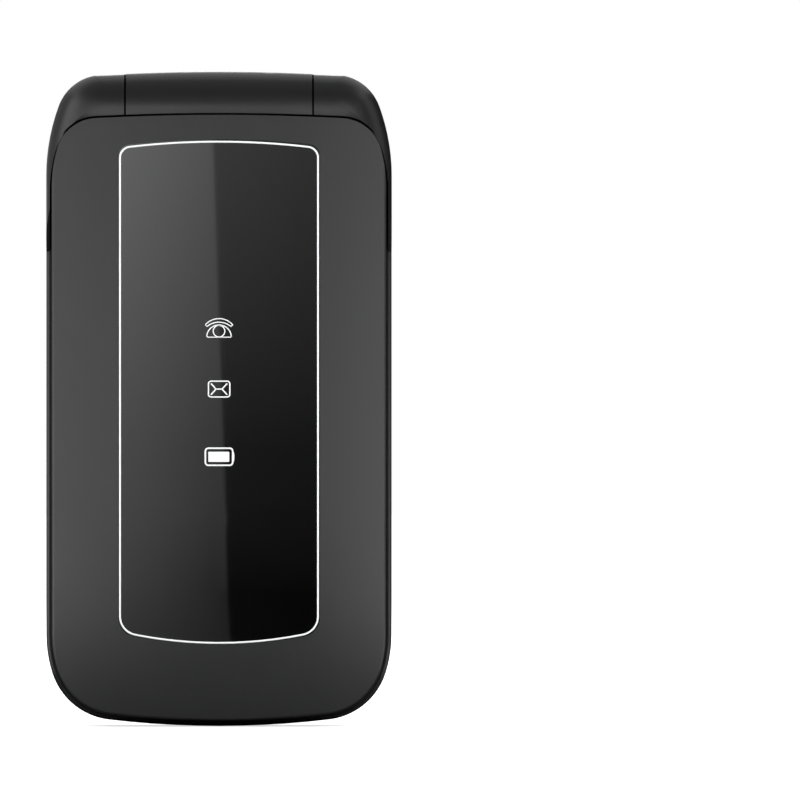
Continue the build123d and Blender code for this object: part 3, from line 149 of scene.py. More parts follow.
class Graph:
    """Builds one node tree."""

    def __init__(self, tree: bpy.types.NodeTree) -> None:
        """Empties a tree and keeps it."""
        self.tree = tree
        tree.nodes.clear()

    def raw(self, kind: str, settings: Named, inputs: dict[Any, Any]) -> bpy.types.Node:
        """Adds any node.

        Args:
            kind: The node's type.
            settings: Its properties, set first.
            inputs: Values or links of its sockets, by name or place.

        Returns:
            The node.
        """
        node = self.tree.nodes.new(kind)
        for name, value in settings.items():
            setattr(node, name, value)
        for key, value in inputs.items():
            source = value.socket if isinstance(value, Value) else value
            if isinstance(source, bpy.types.NodeSocket):
                self.tree.links.new(source, node.inputs[key])
            else:
                node.inputs[key].default_value = source
        return node

    def node(self, kind: str, settings: Named, inputs: dict[Any, Any], output: Any = 0) -> Value:
        """Adds any node and returns one of its outputs; see raw for the arguments."""
        return Value(self, self.raw(kind, settings, inputs).outputs[output])

    def place(self) -> Value:
        """The point's place on the object, in metres."""
        return self.node("ShaderNodeTexCoord", {}, {}, "Object")

    def axes(self) -> tuple[Value, Value, Value]:
        """The three parts of the point's place, in metres."""
        node = self.raw("ShaderNodeSeparateXYZ", {}, {0: self.place()})
        return tuple(Value(self, out) for out in node.outputs)

    def noise(self, size: float, detail: float = 2.0, stretch: Place = (1, 1, 1)) -> Value:
        """Noise on the object's own coordinates.

        Args:
            size: The grain's size in metres.
            detail: How many finer octaves it has.
            stretch: Scale along each axis, for brushed or drawn surfaces.

        Returns:
            The noise, from 0 to 1.
        """
        mapped = self.node("ShaderNodeMapping", {}, {"Vector": self.place(), "Scale": stretch})
        return self.node("ShaderNodeTexNoise", {}, {"Vector": mapped, "Scale": 1.0 / size, "Detail": detail})

    def cells(self, size: float) -> Value:
        """Distance to the middle of the nearest of many cells of a size in metres."""
        values = {"Vector": self.place(), "Scale": 1.0 / size}
        return self.node("ShaderNodeTexVoronoi", {}, values, "Distance")

    def mix(self, factor: Any, first: Any, second: Any) -> Value:
        """Mixes two colours."""
        rgba_a, rgba_b = (c if isinstance(c, Value) else (*c, 1.0) for c in (first, second))
        return self.node("ShaderNodeMix", {"data_type": "RGBA"}, {0: factor, 6: rgba_a, 7: rgba_b}, 2)

    def bump(self, height: Value, distance: float, strength: float = 1.0) -> Value:
        """A bumped normal from a height between 0 and 1, over a distance in metres."""
        values = {"Strength": strength, "Distance": distance, "Height": height}
        return self.node("ShaderNodeBump", {}, values, "Normal")

    def seen(self) -> Value:
        """1 for what the camera sees, straight, mirrored or through glass, and 0 for light."""
        path = self.raw("ShaderNodeLightPath", {}, {}).outputs
        straight, mirrored, through = (
            Value(self, path[f"Is {name} Ray"]) for name in ("Camera", "Glossy", "Transmission"))
        return straight.most(through).most(mirrored)


def shade(colour: Colour, factor: float, lift: float = 0.0) -> Colour:
    """A colour made lighter or darker by a factor, and lifted."""
    return tuple(min(1.0, part * factor + lift) for part in colour)


# ------------------------------------------------------------------ finishes
@dataclass(frozen=True)
class Finish:
    """Any surface finish.

    Attributes:
        name: The material's name.
        colour: The base colour.
        roughness: The mean roughness.
    """

    name: str
    colour: Colour
    roughness: float

    def dress(self, graph: Graph) -> Named:
        """What the surface shader's sockets take."""
        raise NotImplementedError

    def material(self) -> bpy.types.Material:
        """Makes the material, or returns the one made before."""
        name = f"{self.name}_finish"
        made = bpy.data.materials.get(name)
        if made:
            return made
        made, graph = new_material(name)
        values = {"Base Color": (*self.colour, 1.0), "Roughness": self.roughness, **self.dress(graph)}
        shader = graph.node("ShaderNodeBsdfPrincipled", {}, values)
        graph.raw("ShaderNodeOutputMaterial", {}, {"Surface": self.finish_shader(graph, shader)})
        return made

    def finish_shader(self, graph: Graph, shader: Value) -> Value:
        """Lets a finish wrap the surface shader; most don't."""
        return shader


def new_material(name: str) -> tuple[bpy.types.Material, Graph]:
    """An empty material and the graph of its nodes."""
    made = bpy.data.materials.new(name)
    made.use_nodes = True
    return made, Graph(made.node_tree)


@dataclass(frozen=True)
class MouldedPlastic(Finish):
    """Moulded plastic with a fine spark texture, cloudy handling marks, dust in its pores and, where set,
    painted shade in its fine gaps.
    """

    grain: float = 0.11 * MM
    depth: float = 0.006 * MM
    cloud: float = 14 * MM
    handling: float = 0.07
    speck: float = 0.5 * MM
    dust: Colour = (0.11, 0.11, 0.115)
    # Painted shade in fine gaps: how far the darkening reaches, and its near-black colour.
    crevice: float = 0.0
    grime: Colour = (0.0025, 0.0025, 0.0027)

    def finish_shader(self, graph: Graph, shader: Value) -> Value:
        """Painted shade: fine gaps are darkened with a matt near-black where the finish sets a reach for it.
        """
        if not self.crevice:
            return shader
        # Painted shade: the more hidden a point is within the reach, the more it turns matt near-black.
        reach = graph.node("ShaderNodeAmbientOcclusion", {"samples": 8}, {"Distance": self.crevice}, "AO")
        gap_shade_bsdf = graph.node("ShaderNodeBsdfDiffuse", {}, {"Color": (*self.grime, 1.0)})
        return graph.node("ShaderNodeMixShader", {}, {0: reach.fade(0.5, 0.9, 1.0, 0.0), 1: shader, 2: gap_shade_bsdf})

    def dress(self, graph: Graph) -> Named:
        """Fine bump, and a cloudy change of roughness and colour."""
        grain = graph.noise(self.grain, 3.0)
        cloud = graph.noise(self.cloud, 4.0)
        specks = graph.noise(self.speck).above(0.735, 0.05)
        return {
            "Base Color": graph.mix(specks * 0.12, self.colour, self.dust),
            "Roughness": self.roughness + (cloud - 0.5) * self.handling + (grain - 0.5) * 0.08,
            "Normal": graph.bump(grain, self.depth),
        }


@dataclass(frozen=True)
class GlossPanel(Finish):
    """Polished panel with hairline wipe marks and a faint haze."""

    haze: float = 0.035
    specular: float = 0.5

    def dress(self, graph: Graph) -> Named:
        """Hairlines run at a slant across the panel."""
        wipe = graph.noise(0.25 * MM, 2.0, (1.0, 1.0, 0.03)).above(0.66, 0.06)
        return {
            "Roughness": self.roughness + wipe * 0.03 + graph.noise(22 * MM, 3.0) * self.haze,
            "Normal": graph.bump(graph.noise(9 * MM, 1.0), 0.0008 * MM),
            "Specular IOR Level": self.specular,
        }


@dataclass(frozen=True)
class MetallicPaint(Finish):
    """Sprayed metallic coat with fine flakes."""

    flake: float = 0.06 * MM

    def dress(self, graph: Graph) -> Named:
        """Flakes vary in brightness under a clear coat."""
        flake = graph.cells(self.flake)
        tone = flake.fade(0.1, 0.7, 0.0, 1.0)
        return {
            "Base Color": graph.mix(tone, self.colour, shade(self.colour, 1.35)),
            "Metallic": 0.75,
            "Roughness": self.roughness + tone * 0.08,
            "Normal": graph.bump(flake, 0.004 * MM, 0.6),
            "Coat Weight": 0.4,
            "Coat Roughness": 0.08,
        }


class Grain(Enum):
    """Which way a metal's brushing or drawing runs."""

    ACROSS = (0.04, 1.0, 1.0)
    NONE = (1.0, 1.0, 1.0)


@dataclass(frozen=True)
class BareMetal(Finish):
    """Pressed, drawn or cast metal."""

    grain: Grain = Grain.NONE
    scale: float = 0.12 * MM
    stain: Colour = (0.25, 0.22, 0.18)

    def dress(self, graph: Graph) -> Named:
        """Brushing in the bump and roughness, and light staining."""
        lines = graph.noise(self.scale, 3.0, self.grain.value)
        stains = graph.noise(5 * MM, 4.0).above(0.62, 0.2)
        return {
            "Base Color": graph.mix(stains * 0.22, self.colour, self.stain),
            "Metallic": 1.0,
            "Roughness": self.roughness + (lines - 0.5) * 0.22 + stains * 0.08,
            "Normal": graph.bump(lines, 0.006 * MM),
        }


@dataclass(frozen=True)
class SolderMask(Finish):
    """Green circuit board: routed copper under the mask, plated pads and drilled vias."""

    copper: Colour = (0.62, 0.45, 0.16)
    via: float = 1.9 * MM

    def dress(self, graph: Graph) -> Named:
        """Tracks follow a bent grid; vias are bright dots."""
        x, _, z = graph.axes()
        bend = graph.noise(6 * MM, 1.0)
        upright = (x * 700 + bend * 9).zigzag(1.0)
        level = (z * 620 + bend * 7).zigzag(1.0)
        tracks = upright.above(0.62, 0.08) * graph.noise(5 * MM).above(0.5, 0.03)
        cross_tracks = level.above(0.62, 0.08) * graph.noise(4 * MM).above(0.56, 0.03)
        routed = tracks.most(cross_tracks)
        vias = graph.cells(self.via).below(0.13, 0.03)
        masked = graph.mix(routed, self.colour, shade(self.colour, 1.9, 0.01))
        return {
            "Base Color": graph.mix(vias, masked, self.copper),
            "Metallic": vias * 0.9,
            "Roughness": self.roughness - vias * 0.1,
            "Normal": graph.bump(routed + vias, 0.02 * MM),
            "Coat Weight": 0.3,
        }


@dataclass(frozen=True)
class ClearPane(Finish):
    """Thin clear pane: mirror gloss by its angle over a tinted see-through body."""

    tint: float = 0.25
    body: Colour = (0.9, 0.91, 0.93)

    def dress(self, graph: Graph) -> Named:
        """Nearly smooth, with faint wipe marks."""
        wipe = graph.noise(0.3 * MM, 2.0, (1.0, 1.0, 0.05)).above(0.7, 0.06)
        return {"Roughness": self.roughness + wipe * 0.03}

    def finish_shader(self, graph: Graph, shader: Value) -> Value:
        """Mixes the gloss with a clear body."""
        edge = graph.node("ShaderNodeFresnel", {}, {"IOR": 1.5})
        body = graph.node("ShaderNodeBsdfTransparent", {}, {"Color": (*self.body, 1.0)})
        amount = edge * (1.0 - self.tint) + self.tint
        return graph.node("ShaderNodeMixShader", {}, {0: amount, 1: body, 2: shader})


@dataclass(frozen=True)
class CoatedLens(Finish):
    """Small dark lens whose coating's violet and teal glint is painted into its colour by angle, as a painted
    reflection.
    """

    violet: Colour = (0.26, 0.08, 0.38)
    teal: Colour = (0.10, 0.30, 0.30)

    def dress(self, graph: Graph) -> Named:
        """Painted reflection: the coating's violet and teal glint is painted into the base colour, strongest
        where the lens turns from the view.
        """
        facing = graph.node("ShaderNodeLayerWeight", {}, {"Blend": 0.42}, "Facing")
        # Painted reflection: the glint's colour, violet or teal by place.
        coat = graph.mix(graph.noise(1.6 * MM, 1.0).above(0.52, 0.25), self.violet, self.teal)
        return {
            # Painted reflection: the glint is mixed in by the viewing angle.
            "Base Color": graph.mix(facing.fade(0.0, 0.10, 0.1, 1.0), self.colour, coat),
            "Roughness": self.roughness + graph.noise(0.3 * MM) * 0.02,
            "Coat Weight": 1.0,
            "Coat Roughness": 0.01,
        }


@dataclass(frozen=True)
class PrintedInk(Finish):
    """Opaque ink under a clear coat, with slightly uneven cover."""

    def dress(self, graph: Graph) -> Named:
        """The ink's cover varies a little."""
        cover = graph.noise(0.15 * MM)
        return {
            "Base Color": graph.mix(cover, shade(self.colour, 0.86), self.colour),
            "Roughness": self.roughness + (cover - 0.5) * 0.1,
            "Coat Weight": 0.5,
            "Coat Roughness": 0.05,
        }


@dataclass(frozen=True)
class WovenCloth(Finish):
    """Fine woven dust cloth."""

    thread: float = 0.11 * MM

    def dress(self, graph: Graph) -> Named:
        """Crossed threads in the bump and colour."""
        x, _, z = graph.axes()
        height = (x / self.thread).zigzag(1.0) * (z / self.thread).zigzag(1.0)
        return {
            "Base Color": graph.mix(height, self.colour, shade(self.colour, 2.6, 0.01)),
            "Roughness": self.roughness - height * 0.1,
            "Normal": graph.bump(height, 0.03 * MM),
        }


@dataclass(frozen=True)
class DisplayCell(Finish):
    """Unlit display: deep blue black with the faint grid of its dots and a printed border."""

    active_x: Point = (-20.0 * MM, 20.0 * MM)
    active_z: Point = (21.5 * MM, 78.5 * MM)
    edge: float = 0.05 * MM
    dot: float = 0.09 * MM
    border: Colour = (0.004, 0.004, 0.005)

    def dress(self, graph: Graph) -> Named:
        """The active field is a shade lighter than its border."""
        x, _, z = graph.axes()
        inside = x.between(*self.active_x, self.edge) * z.between(*self.active_z, self.edge)
        grid = (x / self.dot).zigzag(1.0) * (z / self.dot).zigzag(1.0)
        lit = graph.mix(grid * 0.5, self.colour, shade(self.colour, 1.7))
        return {"Base Color": graph.mix(inside, self.border, lit), "Roughness": self.roughness + grid * 0.05}


@dataclass(frozen=True)
class PackWrap(Finish):
    """Battery wrap: satin film with plain colour bands and no words."""

    band: Colour = (0.30, 0.31, 0.33)
    band_z: Point = (50.0 * MM, 59.0 * MM)
    stripe: Colour = (0.02, 0.16, 0.30)
    stripe_z: Point = (47.8 * MM, 48.8 * MM)
    edge: float = 0.06 * MM
    scuff: Colour = (0.5, 0.5, 0.5)

    def dress(self, graph: Graph) -> Named:
        """A pale band and a thin stripe run across the pack."""
        _, _, z = graph.axes()
        crease = graph.noise(3 * MM, 4.0)
        scuffs = graph.noise(0.7 * MM, 3.0, (1.0, 1.0, 0.2)).above(0.68, 0.08)
        banded = graph.mix(z.between(*self.band_z, self.edge), self.colour, self.band)
        striped = graph.mix(z.between(*self.stripe_z, self.edge), banded, self.stripe)
        return {
            "Base Color": graph.mix(scuffs * 0.2, striped, self.scuff),
            "Roughness": self.roughness + (crease - 0.5) * 0.15 + scuffs * 0.1,
            "Normal": graph.bump(crease, 0.05 * MM),
        }


@dataclass(frozen=True)
class CopperFilm(Finish):
    """Amber flexible circuit with copper lines."""

    copper: Colour = (0.55, 0.26, 0.08)
    pitch: float = 0.2 * MM

    def dress(self, graph: Graph) -> Named:
        """Parallel copper lines under the film."""
        x, y, _ = graph.axes()
        lines = ((x + y * 0.3) / self.pitch).zigzag(1.0).above(0.45, 0.1)
        return {
            "Base Color": graph.mix(lines, self.colour, self.copper),
            "Roughness": self.roughness + graph.noise(1.5 * MM) * 0.1,
            "Normal": graph.bump(lines, 0.01 * MM),
            "Coat Weight": 0.6,
        }


BLACK_MOULD = MouldedPlastic("black_mould", (0.014, 0.014, 0.015), 0.45)
INK = PrintedInk("white_ink", (0.86, 0.87, 0.88), 0.35)
LEGEND = PrintedInk("legend_white", (0.80, 0.82, 0.84), 0.40)
GREEN_INK = PrintedInk("legend_green", (0.04, 0.55, 0.10), 0.40)
RED_INK = PrintedInk("legend_red", (0.70, 0.02, 0.02), 0.40)
DARK_INK = PrintedInk("legend_dark", (0.02, 0.02, 0.024), 0.40)
LENS_GLASS = CoatedLens("lens_glass", (0.003, 0.003, 0.006), 0.03)
CHIP = MouldedPlastic("chip_black", (0.020, 0.020, 0.022), 0.40, grain=0.1 * MM)
PART_TAN = MouldedPlastic("ceramic_tan", (0.36, 0.26, 0.16), 0.45)

NODE_FINISHES: dict[Finish, tuple[str, ...]] = {
    # The case's finish has painted shade in its grooves and gaps, within 1.6 mm.
    MouldedPlastic("case_black", (0.0100, 0.0101, 0.0106), 0.33, crevice=1.6 * MM):
        ("lid_front_cover", "front_housing", "hinge_barrel", "volume_rocker"),
    MouldedPlastic("inner_case_black", (0.017, 0.017, 0.018), 0.36, grain=0.14 * MM):
        ("lid_inner_housing",),
    MouldedPlastic("back_black", (0.0050, 0.0051, 0.0054), 0.42, grain=0.09 * MM, depth=0.007 * MM):
        ("back_cover",),
    GlossPanel("window_black", (0.0008, 0.0008, 0.0010), 0.02):
        ("outer_window",),
    MouldedPlastic("key_black", (0.020, 0.020, 0.022), 0.30, grain=0.08 * MM, depth=0.003 * MM):
        tuple(f"key_{n}" for n in (*range(10), "star", "hash", "soft_left", "soft_right", "call", "end")),
    MetallicPaint("nav_silver", (0.24, 0.245, 0.26), 0.30):
        ("nav_ring", "ok_key"),
    GlossPanel("sos_red", (0.62, 0.004, 0.005), 0.42, haze=0.06, specular=0.28):
        ("sos_button",),
    MouldedPlastic("bezel_grey", (0.010, 0.0102, 0.011), 0.42, grain=0.07 * MM, depth=0.004 * MM):
        ("camera_bezel",),
    MouldedPlastic("carrier_grey", (0.40, 0.40, 0.41), 0.5):
        ("nav_carrier",),
    ClearPane("camera_pane", (0.004, 0.004, 0.006), 0.015, tint=0.35):
        ("camera_window",),
    ClearPane("display_lens", (0.004, 0.004, 0.006), 0.02, tint=0.12):
        ("inner_display_lens",),
    ClearPane("light_guide", (0.75, 0.76, 0.78), 0.25, tint=0.45):
        ("icon_light_guide",),
    DisplayCell("display_cell", (0.010, 0.012, 0.017), 0.18):
        ("display_module",),
    BareMetal("pressed_steel", (0.62, 0.62, 0.61), 0.34, grain=Grain.ACROSS):
        ("display_frame", "shield_cans", "sim_holder", "usb_connector", "vibration_motor", "lid_magnet"),
    BareMetal("turned_nickel", (0.70, 0.69, 0.67), 0.20, scale=0.3 * MM):
        ("hinge_pin", "hinge_cartridge"),
    BareMetal("cast_alloy", (0.30, 0.30, 0.31), 0.52, scale=0.25 * MM, stain=(0.18, 0.18, 0.19)):
        ("chassis",),
    BareMetal("antenna_brass", (0.78, 0.58, 0.26), 0.30, grain=Grain.ACROSS):
        ("antenna",),
    BareMetal("screw_black_zinc", (0.16, 0.16, 0.17), 0.38, scale=0.2 * MM):
        ("lid_screws", "base_screws"),
    SolderMask("board_green", (0.006, 0.075, 0.035), 0.42):
        ("lid_board", "main_board"),
    BareMetal("dome_steel", (0.64, 0.64, 0.60), 0.26, scale=0.2 * MM):
        ("dome_sheet",),
    PackWrap("battery_wrap", (0.075, 0.08, 0.09), 0.42):
        ("battery",),
    BLACK_MOULD:
        ("battery_contacts", "microphone", "sos_switch", "camera_module", "headset_jack", "loudspeaker",
         "earpiece_receiver"),
    WovenCloth("dust_cloth", (0.008, 0.008, 0.009), 0.85):
        ("speaker_mesh", "earpiece_mesh"),
    CopperFilm("flex_film", (0.30, 0.10, 0.015), 0.35):
        ("lid_flex", "base_flex"),
    MouldedPlastic("bumper_rubber", (0.022, 0.022, 0.022), 0.72, grain=0.1 * MM, depth=0.01 * MM):
        ("lid_bumpers",),
}


# ------------------------------------------------------------------ mesh helpers
def new_object(name: str, mesh: Mesh, finish: Finish | None = None) -> Piece:
    """Links a mesh to the scene under a name.

    Args:
        name: The piece's name.
        mesh: Its mesh, already in place.
        finish: Its finish, unless the mesh has its own.

    Returns:
        The object, at the origin.
    """
    mesh.name = name
    piece = bpy.data.objects.new(name, mesh)
    bpy.context.scene.collection.objects.link(piece)
    if finish:
        mesh.materials.clear()
        mesh.materials.append(finish.material())
    return piece


def finished(work: bmesh.types.BMesh, name: str) -> Mesh:
    """Turns a worked mesh into a plain one and frees it."""
    mesh = bpy.data.meshes.new(name)
    work.to_mesh(mesh)
    work.free()
    return mesh


def set_on(body: str, pieces: Iterable[Piece]) -> None:
    """Makes pieces ride a body and logs each one."""
    for piece in pieces:
        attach(piece, body)
        LOG.info("set %s on %s", piece.name, body)


def arc(centre: Point, radius: float, start: float, end: float, steps: int = 16) -> list[Point]:
    """Points along an arc, from one angle to another in degrees."""
    angles = [math.radians(start + (end - start) * i / steps) for i in range(steps + 1)]
    return [(centre[0] + radius * math.cos(a), centre[1] + radius * math.sin(a)) for a in angles]


def turn(points: Iterable[Point], degrees: float, centre: Point) -> list[Point]:
    """Points turned about the origin and then moved to a centre."""
    c, s = math.cos(math.radians(degrees)), math.sin(math.radians(degrees))
    return [(centre[0] + x * c - z * s, centre[1] + x * s + z * c) for x, z in points]


def arc_through(first: Point, middle: Point, last: Point, steps: int = 24) -> list[Point]:
    """Points along the arc through three points, from the first to the last."""
    (ax, ay), (bx, by), (cx, cy) = first, middle, last
    d = 2 * (ax * (by - cy) + bx * (cy - ay) + cx * (ay - by))
    a2, b2, c2 = ax * ax + ay * ay, bx * bx + by * by, cx * cx + cy * cy
    ux = (a2 * (by - cy) + b2 * (cy - ay) + c2 * (ay - by)) / d
    uy = (a2 * (cx - bx) + b2 * (ax - cx) + c2 * (bx - ax)) / d
    start, mid, end = (math.degrees(math.atan2(y - uy, x - ux)) for x, y in (first, middle, last))
    span_mid, span_end = (mid - start) % 360, (end - start) % 360
    sweep = span_end if span_mid < span_end else span_end - 360
    return arc((ux, uy), math.hypot(ax - ux, ay - uy), start, start + sweep, steps)


def rounded_box(centre: Point, size: Point, radius: float, steps: int = 8) -> list[Point]:
    """The closed outline of a rounded rectangle, anticlockwise."""
    half_w, half_h = size[0] / 2 - radius, size[1] / 2 - radius
    corners = ((half_w, half_h, 0), (-half_w, half_h, 90), (-half_w, -half_h, 180), (half_w, -half_h, 270))
    points: list[Point] = []
    for x, y, start in corners:
        points += arc((centre[0] + x, centre[1] + y), radius, start, start + 90, steps)
    return points


class Surface:
    """A CAD node's front or back surface, found by rays along Y."""

    def __init__(self, node: Piece, facing: int) -> None:
        """Keeps a ray tree of the node; facing is -1 for its front and 1 for its back."""
        mesh = node.data
        mesh.calc_loop_triangles()
        triangles = [tuple(t.vertices) for t in mesh.loop_triangles]
        self.tree = BVHTree.FromPolygons([v.co.copy() for v in mesh.vertices], triangles)
        self.facing = facing

    def depth(self, x: float, z: float, otherwise: float) -> float:
        """The surface's Y at a place across and up, or another where the ray misses; in metres."""
        hit = self.tree.ray_cast(Vector((x, self.facing * 0.5, z)), Vector((0, -self.facing, 0)))
        return hit[0].y if hit[0] else otherwise


def node_group(name: str, inputs: dict[str, str],
               build: Callable[[Graph, Any], Value]) -> bpy.types.NodeTree:
    """A node tree that takes a geometry, more inputs and a material; made once.

    Args:
        name: The tree's name.
        inputs: The type of each further input, by name.
        build: Gets the graph and the tree's inputs and returns the geometry made.

    Returns:
        The tree.
    """
    made = bpy.data.node_groups.get(name)
    if made:
        return made
    made = bpy.data.node_groups.new(name, "GeometryNodeTree")
    for label, kind in {"Geometry": "Geometry", **inputs, "Material": "Material"}.items():
        made.interface.new_socket(label, in_out="INPUT", socket_type=f"NodeSocket{kind}")
    made.interface.new_socket("Geometry", in_out="OUTPUT", socket_type="NodeSocketGeometry")
    graph = Graph(made)
    given = graph.raw("NodeGroupInput", {}, {}).outputs
    real = graph.node("GeometryNodeRealizeInstances", {}, {"Geometry": build(graph, given)})
    dressed = graph.node("GeometryNodeSetMaterial", {}, {"Geometry": real, "Material": given["Material"]})
    graph.raw("NodeGroupOutput", {}, {"Geometry": dressed})
    return made


def bake_nodes(carrier: Piece, tree: bpy.types.NodeTree, values: Named) -> Mesh:
    """Runs a node tree on an object once.

    Args:
        carrier: The object that the tree works on; it is removed afterwards.
        tree: The node tree.
        values: Its inputs by name.

    Returns:
        The result as a plain mesh.
    """
    modifier = carrier.modifiers.new("nodes", "NODES")
    modifier.node_group = tree
    for item in tree.interface.items_tree:
        if item.item_type == "SOCKET" and item.in_out == "INPUT" and item.name in values:
            modifier[item.identifier] = values[item.name]
    graph = bpy.context.evaluated_depsgraph_get()
    mesh = bpy.data.meshes.new_from_object(carrier.evaluated_get(graph))
    old = carrier.data
    bpy.data.objects.remove(carrier)
    bpy.data.meshes.remove(old)
    return mesh


def outward(mesh: Mesh) -> None:
    """Turns every face of a closed mesh outwards."""
    work = bmesh.new()
    work.from_mesh(mesh)
    bmesh.ops.remove_doubles(work, verts=work.verts, dist=1e-7)
    bmesh.ops.recalc_face_normals(work, faces=work.faces)
    work.to_mesh(mesh)
    work.free()


class StrokePath:
    """Lines drawn with a square-edged nib, laid on a surface by a node tree that sweeps them."""

    def __init__(self, width: float, thickness: float, lay: Lay) -> None:
        """Sets the nib's width and thickness in millimetres, and what gives a surface's Y in metres."""
        self.width = width
        self.thickness = thickness
        self.lay = lay
        self.vertices: list[Place] = []
        self.edges: list[tuple[int, int]] = []

    def add(self, points: Iterable[Point], closed: bool = False) -> None:
        """Adds one line through points across and up, in millimetres; a closed one joins its start."""
        first = len(self.vertices)
        self.vertices += [(x * MM, self.lay(x * MM, z * MM), z * MM) for x, z in points]
        last = len(self.vertices)
        self.edges += [(i, i + 1) for i in range(first, last - 1)]
        if closed:
            self.edges.append((last - 1, first))

    @staticmethod
    def sweep(graph: Graph, given: Any) -> Value:
        """Sweeps a flat nib along each line."""
        curve = graph.node("GeometryNodeMeshToCurve", {}, {"Mesh": given["Geometry"]})
        flat = graph.node("GeometryNodeSetCurveNormal", {"mode": "FREE"},
                          {"Curve": curve, "Normal": (0.0, -1.0, 0.0)})
        nib = graph.node("GeometryNodeCurvePrimitiveQuadrilateral", {"mode": "RECTANGLE"},
                         {"Width": given["Thickness"], "Height": given["Width"]})
        return graph.node("GeometryNodeCurveToMesh", {},
                          {"Curve": flat, "Profile Curve": nib, "Fill Caps": True})

    def build(self, name: str, finish: Finish) -> Piece:
        """Sweeps every line and returns them as one plain mesh."""
        mesh = bpy.data.meshes.new(f"{name}_lines")
        mesh.from_pydata(self.vertices, self.edges, [])
        values = {"Width": self.width * MM, "Thickness": self.thickness * MM, "Material": finish.material()}
        tree = node_group("drawn_line", {"Width": "Float", "Thickness": "Float"}, self.sweep)
        swept = bake_nodes(new_object(f"{name}_lines", mesh), tree, values)
        outward(swept)
        return new_object(name, swept)


def plate(name: str, outline: Sequence[Point], lay: Lay, thickness: float, finish: Finish) -> Piece:
    """A thin closed plate that lies on a front surface.

    Args:
        name: The piece's name.
        outline: Its closed outline, across and up, in millimetres.
        lay: Gives the surface's Y in metres at a place in metres.
        thickness: How far it stands off the surface, in millimetres.
        finish: Its finish.

    Returns:
        The plate.
    """
    work = bmesh.new()
    rims = []
    for step in (0.0, -thickness * MM):
        rims.append([work.verts.new((x * MM, lay(x * MM, z * MM) + step, z * MM)) for x, z in outline])
        work.faces.new(rims[-1])
    for i in range(len(outline)):
        work.faces.new((rims[0][i - 1], rims[0][i], rims[1][i], rims[1][i - 1]))
    bmesh.ops.recalc_face_normals(work, faces=work.faces)
    return new_object(name, finished(work, name), finish)


def turned(name: str, profile: Sequence[Point], centre: Point, finish: Finish,
           steps: int = 64) -> Piece:
    """A closed solid turned about an axis along Y.

    Args:
        name: The piece's name.
        profile: Radius and Y of each point, in millimetres, from axis to axis.
        centre: Where the axis is, across and up, in millimetres.
        finish: Its finish.
        steps: How many segments it has round.

    Returns:
        The turned piece.
    """
    work = bmesh.new()
    rings: list[list[bmesh.types.BMVert]] = []
    for radius, y in profile:
        around = [2 * math.pi * i / steps for i in range(steps if radius else 1)]
        rings.append([work.verts.new(((centre[0] + radius * math.cos(a)) * MM, y * MM,
                                      (centre[1] + radius * math.sin(a)) * MM)) for a in around])
    for low, high in zip(rings, rings[1:]):
        for i in range(steps):
            j = (i + 1) % steps
            corners = [low[i % len(low)], low[j % len(low)], high[j % len(high)], high[i % len(high)]]
            unique = list(dict.fromkeys(corners))
            if len(unique) > 2:
                work.faces.new(unique)
    bmesh.ops.recalc_face_normals(work, faces=work.faces)
    mesh = finished(work, name)
    mesh.shade_smooth()
    piece = new_object(name, mesh, finish)
    piece.modifiers.new("edges", "EDGE_SPLIT").split_angle = math.radians(32)
    return piece


